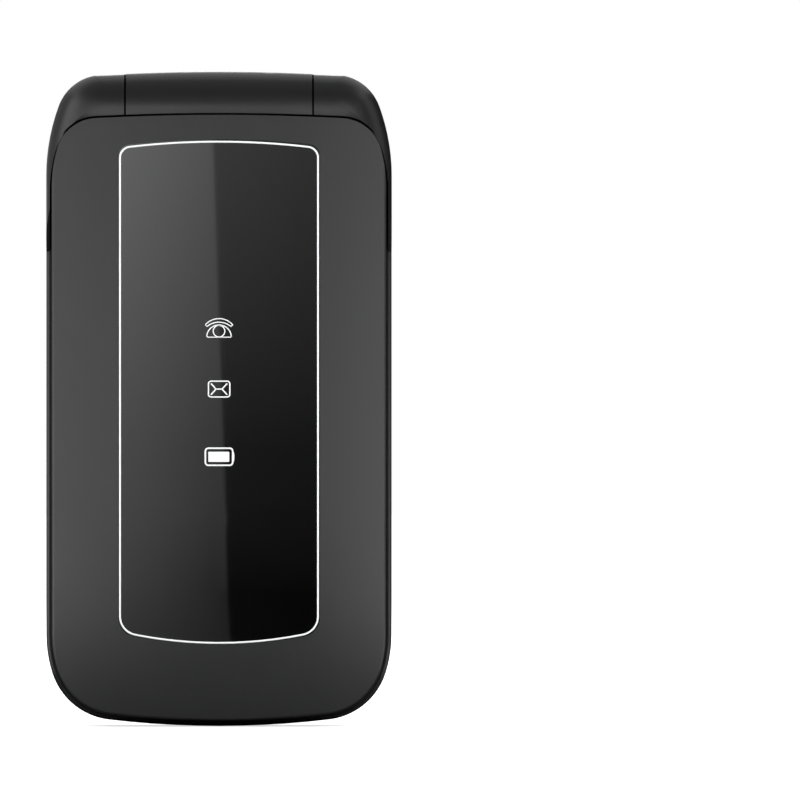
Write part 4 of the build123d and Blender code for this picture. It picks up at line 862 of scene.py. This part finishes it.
# ------------------------------------------------------------------ printed window
@dataclass
class WindowPrint:
    """White line round the lid's window and its three marks: telephone, envelope and battery."""

    node: Piece
    line_x: float = 16.0
    line_top: float = 94.62
    line_foot: float = 13.62
    top_drop: float = 1.02
    foot_rise: float = 1.85
    top_corner: float = 1.75
    foot_corner: float = 3.0
    line_width: float = 0.29
    telephone_line: float = 0.17
    envelope_line: float = 0.21
    battery_line: float = 0.26
    ink: float = 0.02
    telephone_z: float = 63.03
    envelope_z: float = 54.64
    battery_z: float = 43.70
    surface: Surface = field(init=False)

    def __post_init__(self) -> None:
        """Finds the window's front surface."""
        self.surface = Surface(self.node, -1)

    def lay(self, x: float, z: float) -> float:
        """The window's Y at a place, in metres."""
        return self.surface.depth(x, z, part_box("outer_window")[0].y)

    def pen(self, width: float) -> StrokePath:
        """Starts a drawing on the window; half the nib's thickness sinks in."""
        return StrokePath(width, self.ink * 2, self.lay)

    def end_points(self, tip: float, drop: float, corner: float) -> list[Point]:
        """One crowned end of the border, from its right side to its left.

        Args:
            tip: The crown's height at the middle, in millimetres.
            drop: How far it is nearer the window's middle at the sides; negative for the foot.
            corner: The corner's radius.

        Returns:
            The end's points.
        """
        half = self.line_x
        crown_r = (half * half + drop * drop) / (2 * abs(drop))
        up = 1 if drop > 0 else -1
        crown_z = tip - up * crown_r
        across = half - corner
        reach = crown_r - corner
        corner_z = crown_z + up * math.sqrt(reach * reach - across * across)
        touch = math.degrees(math.atan2(up * (corner_z - crown_z), across))
        right = arc((across, corner_z), corner, 0, up * touch, 10)
        middle = arc((0, crown_z), crown_r, up * touch, up * (180 - touch), 40)
        left = arc((-across, corner_z), corner, up * (180 - touch), up * 180, 10)
        return right + middle[1:-1] + left

    def side_points(self, x: float, start: float, end: float, steps: int = 28) -> list[Point]:
        """One straight side of the border, without its ends."""
        return [(x, start + (end - start) * i / steps) for i in range(1, steps)]

    def border(self) -> Piece:
        """The line round the window."""
        top = self.end_points(self.line_top, self.top_drop, self.top_corner)
        foot = self.end_points(self.line_foot, -self.foot_rise, self.foot_corner)
        left = self.side_points(-self.line_x, top[-1][1], foot[-1][1])
        right = self.side_points(self.line_x, foot[0][1], top[0][1])
        path = self.pen(self.line_width)
        path.add(top + left + foot[::-1] + right, closed=True)
        return path.build("window_border", INK)

    def telephone(self) -> Piece:
        """Handset over a dial telephone, drawn in outline."""
        z = self.telephone_z
        path = self.pen(self.telephone_line)
        outer = arc_through((-2.22, z + 1.98), (0, z + 3.0), (2.22, z + 1.98))
        inner = arc_through((1.93, z + 1.72), (0, z + 2.42), (-1.93, z + 1.72))
        path.add(outer + inner, closed=True)
        side = arc_through((-1.98, z + 0.16), (0, z + 1.98), (1.98, z + 0.16), 32)
        path.add([(-1.86, z), *side, (1.86, z)], closed=True)
        path.add(arc((0, z + 0.97), 0.94, 0, 348.75, 31), closed=True)
        return path.build("mark_telephone", INK)

    def envelope(self) -> Piece:
        """Closed envelope seen from its flap side."""
        z = self.envelope_z
        path = self.pen(self.envelope_line)
        path.add(rounded_box((0.02, z), (3.46, 2.56), 0.45), closed=True)
        for up in (1, -1):
            for side in (1, -1):
                path.add([(side * 1.32, z + up * 0.92), (side * 0.48, z)])
        path.add([(-0.5, z), (0.5, z)])
        return path.build("mark_envelope", INK)

    def battery(self) -> list[Piece]:
        """Battery outline with its nub, and its solid charge."""
        z = self.battery_z
        path = self.pen(self.battery_line)
        path.add(rounded_box((0.0, z), (4.42, 2.76), 0.5), closed=True)
        path.add(arc_through((2.27, z + 0.75), (2.36, z), (2.27, z - 0.75), 12))
        charge = rounded_box((-0.03, z), (3.36, 1.62), 0.08, 3)
        solid = plate("mark_battery_charge", charge, self.lay, self.ink, INK)
        return [path.build("mark_battery", INK), solid]

    def build(self) -> None:
        """Makes every printed mark and sets it on the lid."""
        set_on("lid", [self.border(), self.telephone(), self.envelope(), *self.battery()])


# ------------------------------------------------------------------ key legends
class Mark(Enum):
    """Pictograms on the keys."""

    CALL = "call"
    END = "end"
    BAR = "bar"


@dataclass
class KeyLegends:
    """Digits and plain pictograms on the keypad."""

    digit_size: float = 8.37
    digit_swell: float = 0.10
    ink: float = 0.03
    ring_r: float = 2.1
    ring_line: float = 0.35
    digits: dict[str, str] = field(default_factory=lambda: {
        **{f"key_{n}": str(n) for n in range(10)}, "key_star": "*", "key_hash": "#"})
    marks: dict[str, Mark] = field(default_factory=lambda: {
        "key_call": Mark.CALL, "key_end": Mark.END, "key_soft_left": Mark.BAR, "key_soft_right": Mark.BAR})

    @staticmethod
    def centre(node: str) -> tuple[Point, float]:
        """A key's middle across and up, in millimetres, and its face's Y in metres."""
        low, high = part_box(node)
        return ((low.x + high.x) / 2 / MM, (low.z + high.z) / 2 / MM), low.y

    def digit(self, node: str, sign: str) -> Piece:
        """One raised character in the middle of its key.

        Args:
            node: The key.
            sign: The character.

        Returns:
            The raised character.
        """
        curve = bpy.data.curves.new(f"{node}_text", "FONT")
        curve.body = sign
        curve.size = self.digit_size * MM
        curve.extrude = self.ink / 2 * MM
        curve.resolution_u = 6
        curve.offset = self.digit_swell * MM
        writer = bpy.data.objects.new(f"{node}_text", curve)
        bpy.context.scene.collection.objects.link(writer)
        mesh = bpy.data.meshes.new_from_object(writer.evaluated_get(bpy.context.evaluated_depsgraph_get()))
        bpy.data.objects.remove(writer)
        bpy.data.curves.remove(curve)
        (x, z), face = self.centre(node)
        xs, ys = ([v.co[axis] for v in mesh.vertices] for axis in (0, 1))
        mid_x, mid_y = (min(xs) + max(xs)) / 2, (min(ys) + max(ys)) / 2
        for v in mesh.vertices:
            v.co = (x * MM + v.co.x - mid_x, face - v.co.z, z * MM + v.co.y - mid_y)
        outward(mesh)
        return new_object(f"{node}_legend", mesh, LEGEND)

    @staticmethod
    def handset(centre: Point, tilt: float, size: float) -> list[Point]:
        """A telephone handset's outline: two ear pieces joined by a bowed grip.

        Args:
            centre: Its middle, in millimetres.
            tilt: Its turn in degrees; 0 is level with the pieces down.
            size: Its overall length, in millimetres.

        Returns:
            The closed outline.
        """
        top = arc_through((-0.5, -0.05), (0, 0.26), (0.5, -0.05), 14)
        grip = arc_through((0.17, 0.03), (0, 0.075), (-0.17, 0.03), 6)
        right = [(0.5, -0.20), (0.24, -0.20), (0.20, 0.0)]
        left = [(-x, z) for x, z in reversed(right)]
        unit = [*top, *right, *grip, *left]
        return turn([(x * size, z * size) for x, z in unit], tilt, centre)

    def pictogram(self, node: str, mark: Mark) -> Piece:
        """One flat pictogram in the middle of its key."""
        (x, z), face = self.centre(node)
        outline, ink = {
            Mark.CALL: (self.handset((x, z - 0.2), 52, 5.2), GREEN_INK),
            Mark.END: (self.handset((x, z - 0.2), 0, 5.6), RED_INK),
            Mark.BAR: (rounded_box((x, z), (4.2, 0.9), 0.44), LEGEND),
        }[mark]
        return plate(f"{node}_legend", outline, lambda _x, _z: face, self.ink / 2, ink)

    def arrows(self) -> list[Piece]:
        """Four small arrow heads on the navigation ring."""
        middle, face = self.centre("nav_ring")
        head = [(-0.95, 7.25), (0.95, 7.25), (0.0, 8.45)]
        return [plate(f"nav_arrow_{index}", turn(head, 90 * index, middle), lambda _x, _z: face, self.ink / 2,
                      DARK_INK) for index in range(4)]

    def ok_ring(self) -> Piece:
        """A thin ring on the middle key."""
        path = StrokePath(self.ring_line, self.ink, lambda _x, _z: self.centre("ok_key")[1])
        path.add(arc(self.centre("nav_ring")[0], self.ring_r, 0, 351, 39), closed=True)
        return path.build("ok_key_legend", DARK_INK)

    def build(self) -> None:
        """Makes every legend and sets it on its key."""
        for node, sign in self.digits.items():
            set_on(f"{node}_body", [self.digit(node, sign)])
        for node, mark in self.marks.items():
            set_on(f"{node}_body", [self.pictogram(node, mark)])
        set_on("nav_ring_body", self.arrows())
        set_on("ok_key_body", [self.ok_ring()])


# ------------------------------------------------------------------ camera optics
@dataclass
class CameraOptics:
    """Lens stack behind the camera's window: a stepped hood and a coated dome."""

    centre: Point = (12.6, 89.1)
    front_y: float = 8.50
    hood_r: float = 2.95
    hood_depth: float = 0.55
    lens_r: float = 1.75
    lens_depth: float = 0.62
    lens_gap: float = 0.02
    lens_rise: float = 0.42

    def hood(self) -> Piece:
        """Stepped black hood that narrows to the lens."""
        y, r, outer_r = self.front_y, self.lens_r, self.hood_r
        back = y - self.hood_depth
        steps = [(r, y - 0.38), (r + 0.22, y - 0.38), (r + 0.22, y - 0.22), (r + 0.5, y - 0.22),
                 (r + 0.5, y - 0.08), (outer_r - 0.25, y), (outer_r, y - 0.12)]
        profile = [(r, back), *steps, (outer_r, back), (r, back)]
        return turned("camera_hood", profile, self.centre, BLACK_MOULD)

    def dome(self, steps: int = 8) -> Piece:
        """Coated front element."""
        back, edge_r = self.front_y - self.lens_depth, self.lens_r - self.lens_gap
        radius = (self.lens_r ** 2 + self.lens_rise ** 2) / (2 * self.lens_rise)
        middle_y = back + self.lens_rise + 0.05 - radius
        radii = [edge_r * (1 - step / steps) for step in range(steps + 1)]
        crown = [(r, middle_y + math.sqrt(radius ** 2 - r ** 2)) for r in radii]
        return turned("camera_lens", [(0.0, back), (edge_r, back), *crown], self.centre, LENS_GLASS)

    def build(self) -> None:
        """Makes the optics and sets them on the base."""
        set_on("base", [self.hood(), self.dome()])


# ------------------------------------------------------------------ board parts
@dataclass
class BoardParts:
    """Surface-mount parts spread over one open area of the main board's back by a node tree.

    Attributes:
        name: The piece's name.
        finish: The parts' finish.
        left: The area's left edge, in millimetres.
        right: Its right edge.
        low: Its low edge.
        high: Its high edge.
        seed: Picks which places are filled.
        pitch: The parts' spacing, in millimetres.
        fill: The share of the places that are filled.
        length: A part's length as a share of the pitch.
    """

    name: str
    finish: Finish
    left: float
    right: float
    low: float
    high: float
    seed: int
    pitch: float = 1.7
    fill: float = 0.62
    length: float = 0.8

    @staticmethod
    def part_mesh() -> Mesh:
        """One part of unit size: a body between two slightly larger end caps."""
        work = bmesh.new()
        for x0, x1, inset in ((-0.5, -0.32, 0.0), (-0.32, 0.32, 0.05), (0.32, 0.5, 0.0)):
            for v in bmesh.ops.create_cube(work, size=1.0)["verts"]:
                v.co = Vector((x0 if v.co.x < 0 else x1, v.co.y * (0.62 - inset),
                               1.0 - inset if v.co.z > 0 else 0.0))
        return finished(work, "part_form")

    @staticmethod
    def spread(graph: Graph, given: Any) -> Value:
        """A part on each point of a grid, thinned, turned and sized at random with a fixed seed.

        Args:
            graph: The node tree's graph.
            given: The tree's inputs.

        Returns:
            The parts.
        """
        def random(kind: str, values: dict[Any, Any], output: int) -> Value:
            """Adds a random value of a kind; its sockets are given by place."""
            seeded = {**values, "Seed": given["Seed"]}
            return graph.node("FunctionNodeRandomValue", {"data_type": kind}, seeded, output)

        width, height, pitch = (Value(graph, given[name]) for name in ("Width", "Height", "Pitch"))
        grid = graph.node("GeometryNodeMeshGrid", {}, {
            "Size X": width, "Size Y": height,
            "Vertices X": width / pitch + 1.0, "Vertices Y": height / pitch + 1.0})
        keep = random("BOOLEAN", {"Probability": given["Fill"]}, 3)
        quarters = random("INT", {4: 0, 5: 1}, 2)
        size = random("FLOAT", {2: 0.55, 3: 1.0}, 1) * given["Part Size"]
        rotation = graph.node("ShaderNodeCombineXYZ", {}, {2: quarters * (math.pi / 2)})
        scale = graph.node("ShaderNodeCombineXYZ", {}, {0: size, 1: size, 2: size * 0.55})
        return graph.node("GeometryNodeInstanceOnPoints", {}, {
            "Points": grid, "Selection": keep, "Instance": given["Geometry"],
            "Rotation": rotation, "Scale": scale})

    def build(self) -> None:
        """Spreads the parts, lays them on the board and sets them on the base."""
        sizes = dict.fromkeys(("Width", "Height", "Pitch", "Fill", "Part Size"), "Float")
        tree = node_group("mounted_parts", {**sizes, "Seed": "Int"}, self.spread)
        values = {"Width": (self.right - self.left) * MM, "Height": (self.high - self.low) * MM,
                  "Pitch": self.pitch * MM, "Fill": self.fill, "Part Size": self.pitch * self.length * MM,
                  "Seed": self.seed, "Material": self.finish.material()}
        mesh = bake_nodes(new_object(f"{self.name}_form", self.part_mesh()), tree, values)
        across, up = (self.left + self.right) / 2 * MM, (self.low + self.high) / 2 * MM
        board_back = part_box("main_board")[1].y
        for v in mesh.vertices:
            v.co = (across + v.co.x, board_back + v.co.z, up + v.co.y)
        outward(mesh)
        set_on("base", [new_object(self.name, mesh)])


# ------------------------------------------------------------------ studio
@dataclass
class Studio:
    """Floor, reflector cards, lamps, world and camera; places in millimetres and levels with white as 1.

    Attributes:
        frame_width: The width that the camera shows at focus_y.
        look_x: Where the middle of the picture is, across.
        look_z: Where it is, up.
        front_y: The front card; the back card stands as far behind.
        side_x: The left and right cards.
        wide_x: Half the width of the other cards.
        low_z: Where every standing card starts and the floor flags lie.
        top_z: Where the standing cards end.
        ridge: Y and Z of the roof's ridge.
        near_y: Where the side cards and the roof change level.
        panel_x: Both edges of the front card's panels.
        panel_top: Their upper edge.
        strip_x: How far the low flag's side lights reach.
        strip_y: Where they fade, from their far to their near level.
        side_z: Heights between which the side cards change level.
        cast: How far the front card's drawing is moved across.
        flag_lean: How far the low flag's drawing moves across for each millimetre in Y.
        split: The slanted border between both panels, by height.
        outer_glow: The bright panel at its outer edge, by height.
        inner_glow: The bright panel at the split, by height.
        dark_glow: The dark panel, by height.
        strips: The strip lights beside the panels, by place across.
        back_glow: The back card's broad light, by height.
    """

    frame_width: float = 129.69
    look_x: float = 29.34
    look_z: float = 52.88
    lens: float = 600.0
    sensor: float = 36.0
    focus_y: float = -3.0
    front_y: float = -300.0
    side_x: float = 150.0
    wide_x: float = 260.0
    low_z: float = 0.5
    top_z: float = 215.0
    ridge: Point = (60.0, 430.0)
    near_y: float = -120.0
    panel_x: Point = (-56.0, 48.0)
    panel_top: float = 112.0
    strip_x: float = 110.0
    strip_y: Point = (-110.0, -10.0)
    side_z: Point = (45.0, 75.0)
    cast: float = 4.05
    flag_lean: float = 0.0135
    split: Profile = ((0.0, 0.64), (33.7, -0.82), (100.1, -6.96))
    outer_glow: Profile = ((0.0, 1.13), (43.7, 1.65), (112.0, 3.28))
    inner_glow: Profile = ((0.0, 0.42), (43.7, 0.91), (112.0, 2.19))
    dark_glow: Profile = ((0.0, 0.05), (43.7, 0.21), (112.0, 1.11))
    strips: Profile = (
        (-152.0, 0.95), (-148.0, 3.5), (-102.0, 3.5), (-98.0, 1.6), (-77.0, 1.6), (-73.0, 0.0), (46.0, 0.0),
        (50.0, 0.6), (68.0, 0.6), (72.0, 2.7), (93.0, 2.7), (97.0, 4.2), (148.0, 4.2), (152.0, 0.7))
    back_glow: Profile = ((35.0, 0.0), (100.0, 6.3), (110.0, 6.3), (130.0, 3.2))

    def camera(self) -> None:
        """Long lens straight before the phone, turned so that the phone stands at the left."""
        data = bpy.data.cameras.new("camera")
        data.lens = self.lens
        data.sensor_width = self.sensor
        data.clip_start, data.clip_end = 0.05, 20.0
        distance = self.frame_width * self.lens / self.sensor
        camera = bpy.data.objects.new("camera", data)
        camera.location = (0.0, (self.focus_y - distance) * MM, self.look_z * MM)
        camera.rotation_euler = (math.pi / 2, 0, -math.atan2(self.look_x, distance))
        bpy.context.scene.collection.objects.link(camera)
        bpy.context.scene.camera = camera

    def world(self, ambient: float = 0.62) -> None:
        """White to the camera and in reflections; a softer level for light."""
        world = bpy.data.worlds.new("studio")
        world.use_nodes = True
        bpy.context.scene.world = world
        graph = Graph(world.node_tree)
        values = {"Color": (1.0, 1.0, 1.0, 1.0), "Strength": graph.seen().fade(0.0, 1.0, ambient, 1.0)}
        back = graph.node("ShaderNodeBackground", {}, values)
        graph.raw("ShaderNodeOutputWorld", {}, {"Surface": back})

    def floor(self, glow: float = 0.62) -> None:
        """Pale floor that is white to the camera and keeps the phone's shadow."""
        work = bmesh.new()
        bmesh.ops.create_grid(work, x_segments=1, y_segments=1, size=4.0)
        floor = new_object("floor", finished(work, "floor"))
        made, graph = new_material("pale_floor")
        values = {"Base Color": (0.82, 0.82, 0.82, 1.0), "Roughness": 0.9, "Emission Color": (1, 1, 1, 1),
                  "Emission Strength": graph.seen() * glow, "Specular IOR Level": 0.0}
        shader = graph.node("ShaderNodeBsdfPrincipled", {}, values)
        graph.raw("ShaderNodeOutputMaterial", {}, {"Surface": shader})
        floor.data.materials.append(made)

    def card(self, name: str, corners: Sequence[Place], paint: Callable[[Value, Value, Value], Any]) -> None:
        """A reflector card that only reflections see.

        Args:
            name: The card's name.
            corners: Its four corners, in millimetres.
            paint: Gives its brightness at a place, in millimetres.
        """
        mesh = bpy.data.meshes.new(name)
        mesh.from_pydata([tuple(c * MM for c in corner) for corner in corners], [], [(0, 1, 2, 3)])
        made, graph = new_material(f"{name}_light")
        strength = paint(*(part / MM for part in graph.axes()))
        glow = graph.node("ShaderNodeEmission", {}, {"Color": (1, 1, 1, 1), "Strength": strength})
        graph.raw("ShaderNodeOutputMaterial", {}, {"Surface": glow})
        card = new_object(name, mesh)
        mesh.materials.append(made)
        card.visible_camera = False
        card.visible_diffuse = False
        card.visible_shadow = False

    def front_paint(self, x: Value, _y: Value, z: Value) -> Value:
        """A slanted split between a bright and a dark panel, and strip lights at both sides."""
        x = x - self.cast
        split = x.above(z.along(self.split), 1.2)
        inward = x.fade(-55.0, -7.0, 0.0, 1.0)
        bright = z.along(self.outer_glow) * (1.0 - inward) + z.along(self.inner_glow) * inward
        dark = z.along(self.dark_glow) * x.fade(-5.0, 46.0, 1.0, 0.70)
        panels = dark * split + bright * (1.0 - split)
        framed = panels * x.between(*self.panel_x, 2.0) * z.below(self.panel_top, 4.0)
        return framed + x.along(self.strips) * z.fade(104.0, 120.0, 1.0, 0.38)

    def floor_paint(self, x: Value, y: Value, _z: Value) -> Value:
        """The low flag before the foot carries the front card's split and strip lights on."""
        x = x + y * self.flag_lean
        split = x.above((y - self.front_y) * 0.0062 + 0.62, 1.2)
        panels = split * x.fade(0.0, 46.0, 0.05, 0.012) + (1.0 - split) * x.fade(-55.0, 0.0, 1.11, 0.33)
        framed = panels * y.below(self.strip_y[0], 10.0) * x.between(*self.panel_x, 2.0)
        left, right = self.panel_x
        left_strip = x.between(-self.strip_x, left, 4.0) * y.fade(*self.strip_y, 4.2, 0.5)
        right_strip = x.between(right, self.strip_x, 4.0) * y.fade(*self.strip_y, 4.2, 0.9)
        beyond = 1.0 - x.between(-self.strip_x, self.strip_x, 4.0)
        return framed + left_strip + right_strip + beyond * 0.45

    def left_paint(self, _x: Value, y: Value, z: Value) -> Value:
        """The left card: brightest low down and far forward."""
        near = y.above(self.near_y, 10.0)
        return near * z.fade(*self.side_z, 2.2, 1.85) + (1.0 - near) * z.fade(*self.side_z, 3.7, 1.1)

    def right_paint(self, _x: Value, y: Value, z: Value) -> Value:
        """The right card: dark near the phone, but for its very end."""
        near = y.above(self.near_y, 10.0)
        level = near * z.fade(*self.side_z, 0.37, 0.0) + (1.0 - near) * z.fade(*self.side_z, 2.0, 0.43)
        return level + y.above(-40.0, 10.0) * 0.5

    def back_paint(self, x: Value, _y: Value, z: Value) -> Value:
        """A broad upright light, a faint one beside it, and a slanted split for the camera's window."""
        broad = x.between(-45.0, 32.0, 6.0) * z.along(self.back_glow)
        beside = z.between(40.0, 120.0, 10.0) * x.between(-150.0, -50.0, 10.0) * 0.8
        window = x.between(-4.0, 24.0, 1.0) * z.between(86.0, 103.0, 1.0)
        window_split = x.above(z.fade(89.8, 98.5, 15.4, 13.3), 0.6) * z.fade(88.0, 99.0, 0.5, 1.9)
        return broad * (1.0 - window) + window * window_split + beside

    def cards(self) -> None:
        """Everything the phone mirrors: a closed box of cards and flags round it."""
        front, back, side, wide = self.front_y, -self.front_y, self.side_x, self.wide_x
        low, top = self.low_z, self.top_z

        def across(y: float) -> list[Place]:
            """A standing card across."""
            return [(-wide, y, low), (wide, y, low), (wide, y, top), (-wide, y, top)]

        def along(x: float, near: float, far: float) -> list[Place]:
            """A standing card from front to back."""
            return [(x, near, low), (x, far, low), (x, far, top), (x, near, top)]

        def lying(near: Point, far: Point) -> list[Place]:
            """A flat or sloping card between two lines across."""
            return [(-wide, *near), (wide, *near), (wide, *far), (-wide, *far)]

        self.card("front_card", across(front), self.front_paint)
        self.card("back_card", across(back), self.back_paint)
        self.card("left_card", along(-side, front, 0), self.left_paint)
        self.card("right_card", along(side, front, 0), self.right_paint)
        self.card("left_flag", along(-side, 0, back), lambda x, y, z: 0.3)
        self.card("right_flag", along(side, 0, back), lambda x, y, z: y.below(40.0, 10.0) * 0.5)
        self.card("floor_flag", lying((front, low), (0, low)), self.floor_paint)
        self.card("back_floor_flag", lying((0, low), (back, low)),
                  lambda x, y, z: x.between(-50.0, 50.0, 4.0) * y.above(150.0, 10.0) * 7.5)
        self.card("roof_flag", lying((front, top), self.ridge),
                  lambda x, y, z: y.above(self.near_y, 10.0) * 0.17)
        self.card("back_roof_flag", lying(self.ridge, (back, top)), lambda x, y, z: 0.66)

    def lamp(self, name: str, place: Place, size: float, power: float) -> None:
        """A square soft lamp aimed at the phone's middle.

        Args:
            name: The lamp's name.
            place: Where it hangs, in millimetres.
            size: Its side, in millimetres.
            power: Its power in watts.
        """
        data = bpy.data.lights.new(name, "AREA")
        data.shape = "SQUARE"
        data.size = size * MM
        data.energy = power
        lamp = bpy.data.objects.new(name, data)
        lamp.location = Vector(place) * MM
        aim = Vector((0, 0, self.look_z * MM)) - lamp.location
        lamp.rotation_euler = aim.to_track_quat("-Z", "Y").to_euler()
        lamp.visible_camera = False
        lamp.visible_glossy = False
        bpy.context.scene.collection.objects.link(lamp)

    def build(self) -> None:
        """Makes the whole studio."""
        self.camera()
        self.world()
        self.floor()
        self.cards()
        self.lamp("key_lamp", (-500, -700, 700), 500, 6.0)
        self.lamp("fill_lamp", (600, -500, 500), 500, 4.0)
        self.lamp("back_lamp", (300, 800, 600), 600, 6.0)


# ------------------------------------------------------------------ whole phone
@dataclass
class Phone:
    """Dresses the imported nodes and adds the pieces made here."""

    nodes: dict[str, Piece]

    def dress_nodes(self) -> None:
        """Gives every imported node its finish."""
        for finish, names in NODE_FINISHES.items():
            for name in names:
                materials = self.nodes[name].data.materials
                materials.clear()
                materials.append(finish.material())
                LOG.info("dressed %s in %s", name, finish.name)

    def build(self) -> None:
        """Dresses the phone and adds its prints, legends, optics and board parts."""
        self.dress_nodes()
        WindowPrint(self.nodes["outer_window"]).build()
        KeyLegends().build()
        CameraOptics().build()
        BoardParts("board_parts_left", CHIP, -19.5, -5.0, 85.6, 91.0, seed=5).build()
        BoardParts("board_parts_right", PART_TAN, 6.4, 19.5, 66.4, 72.2, seed=8).build()


def main() -> None:
    """Loads the frame, dresses the phone and builds the studio."""
    logging.basicConfig(level=logging.INFO, format="%(name)s: %(message)s")
    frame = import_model()
    Phone(frame["nodes"]).build()
    Studio().build()
    bpy.context.scene.view_settings.view_transform = "Standard"


if __name__ == "__main__":
    main()
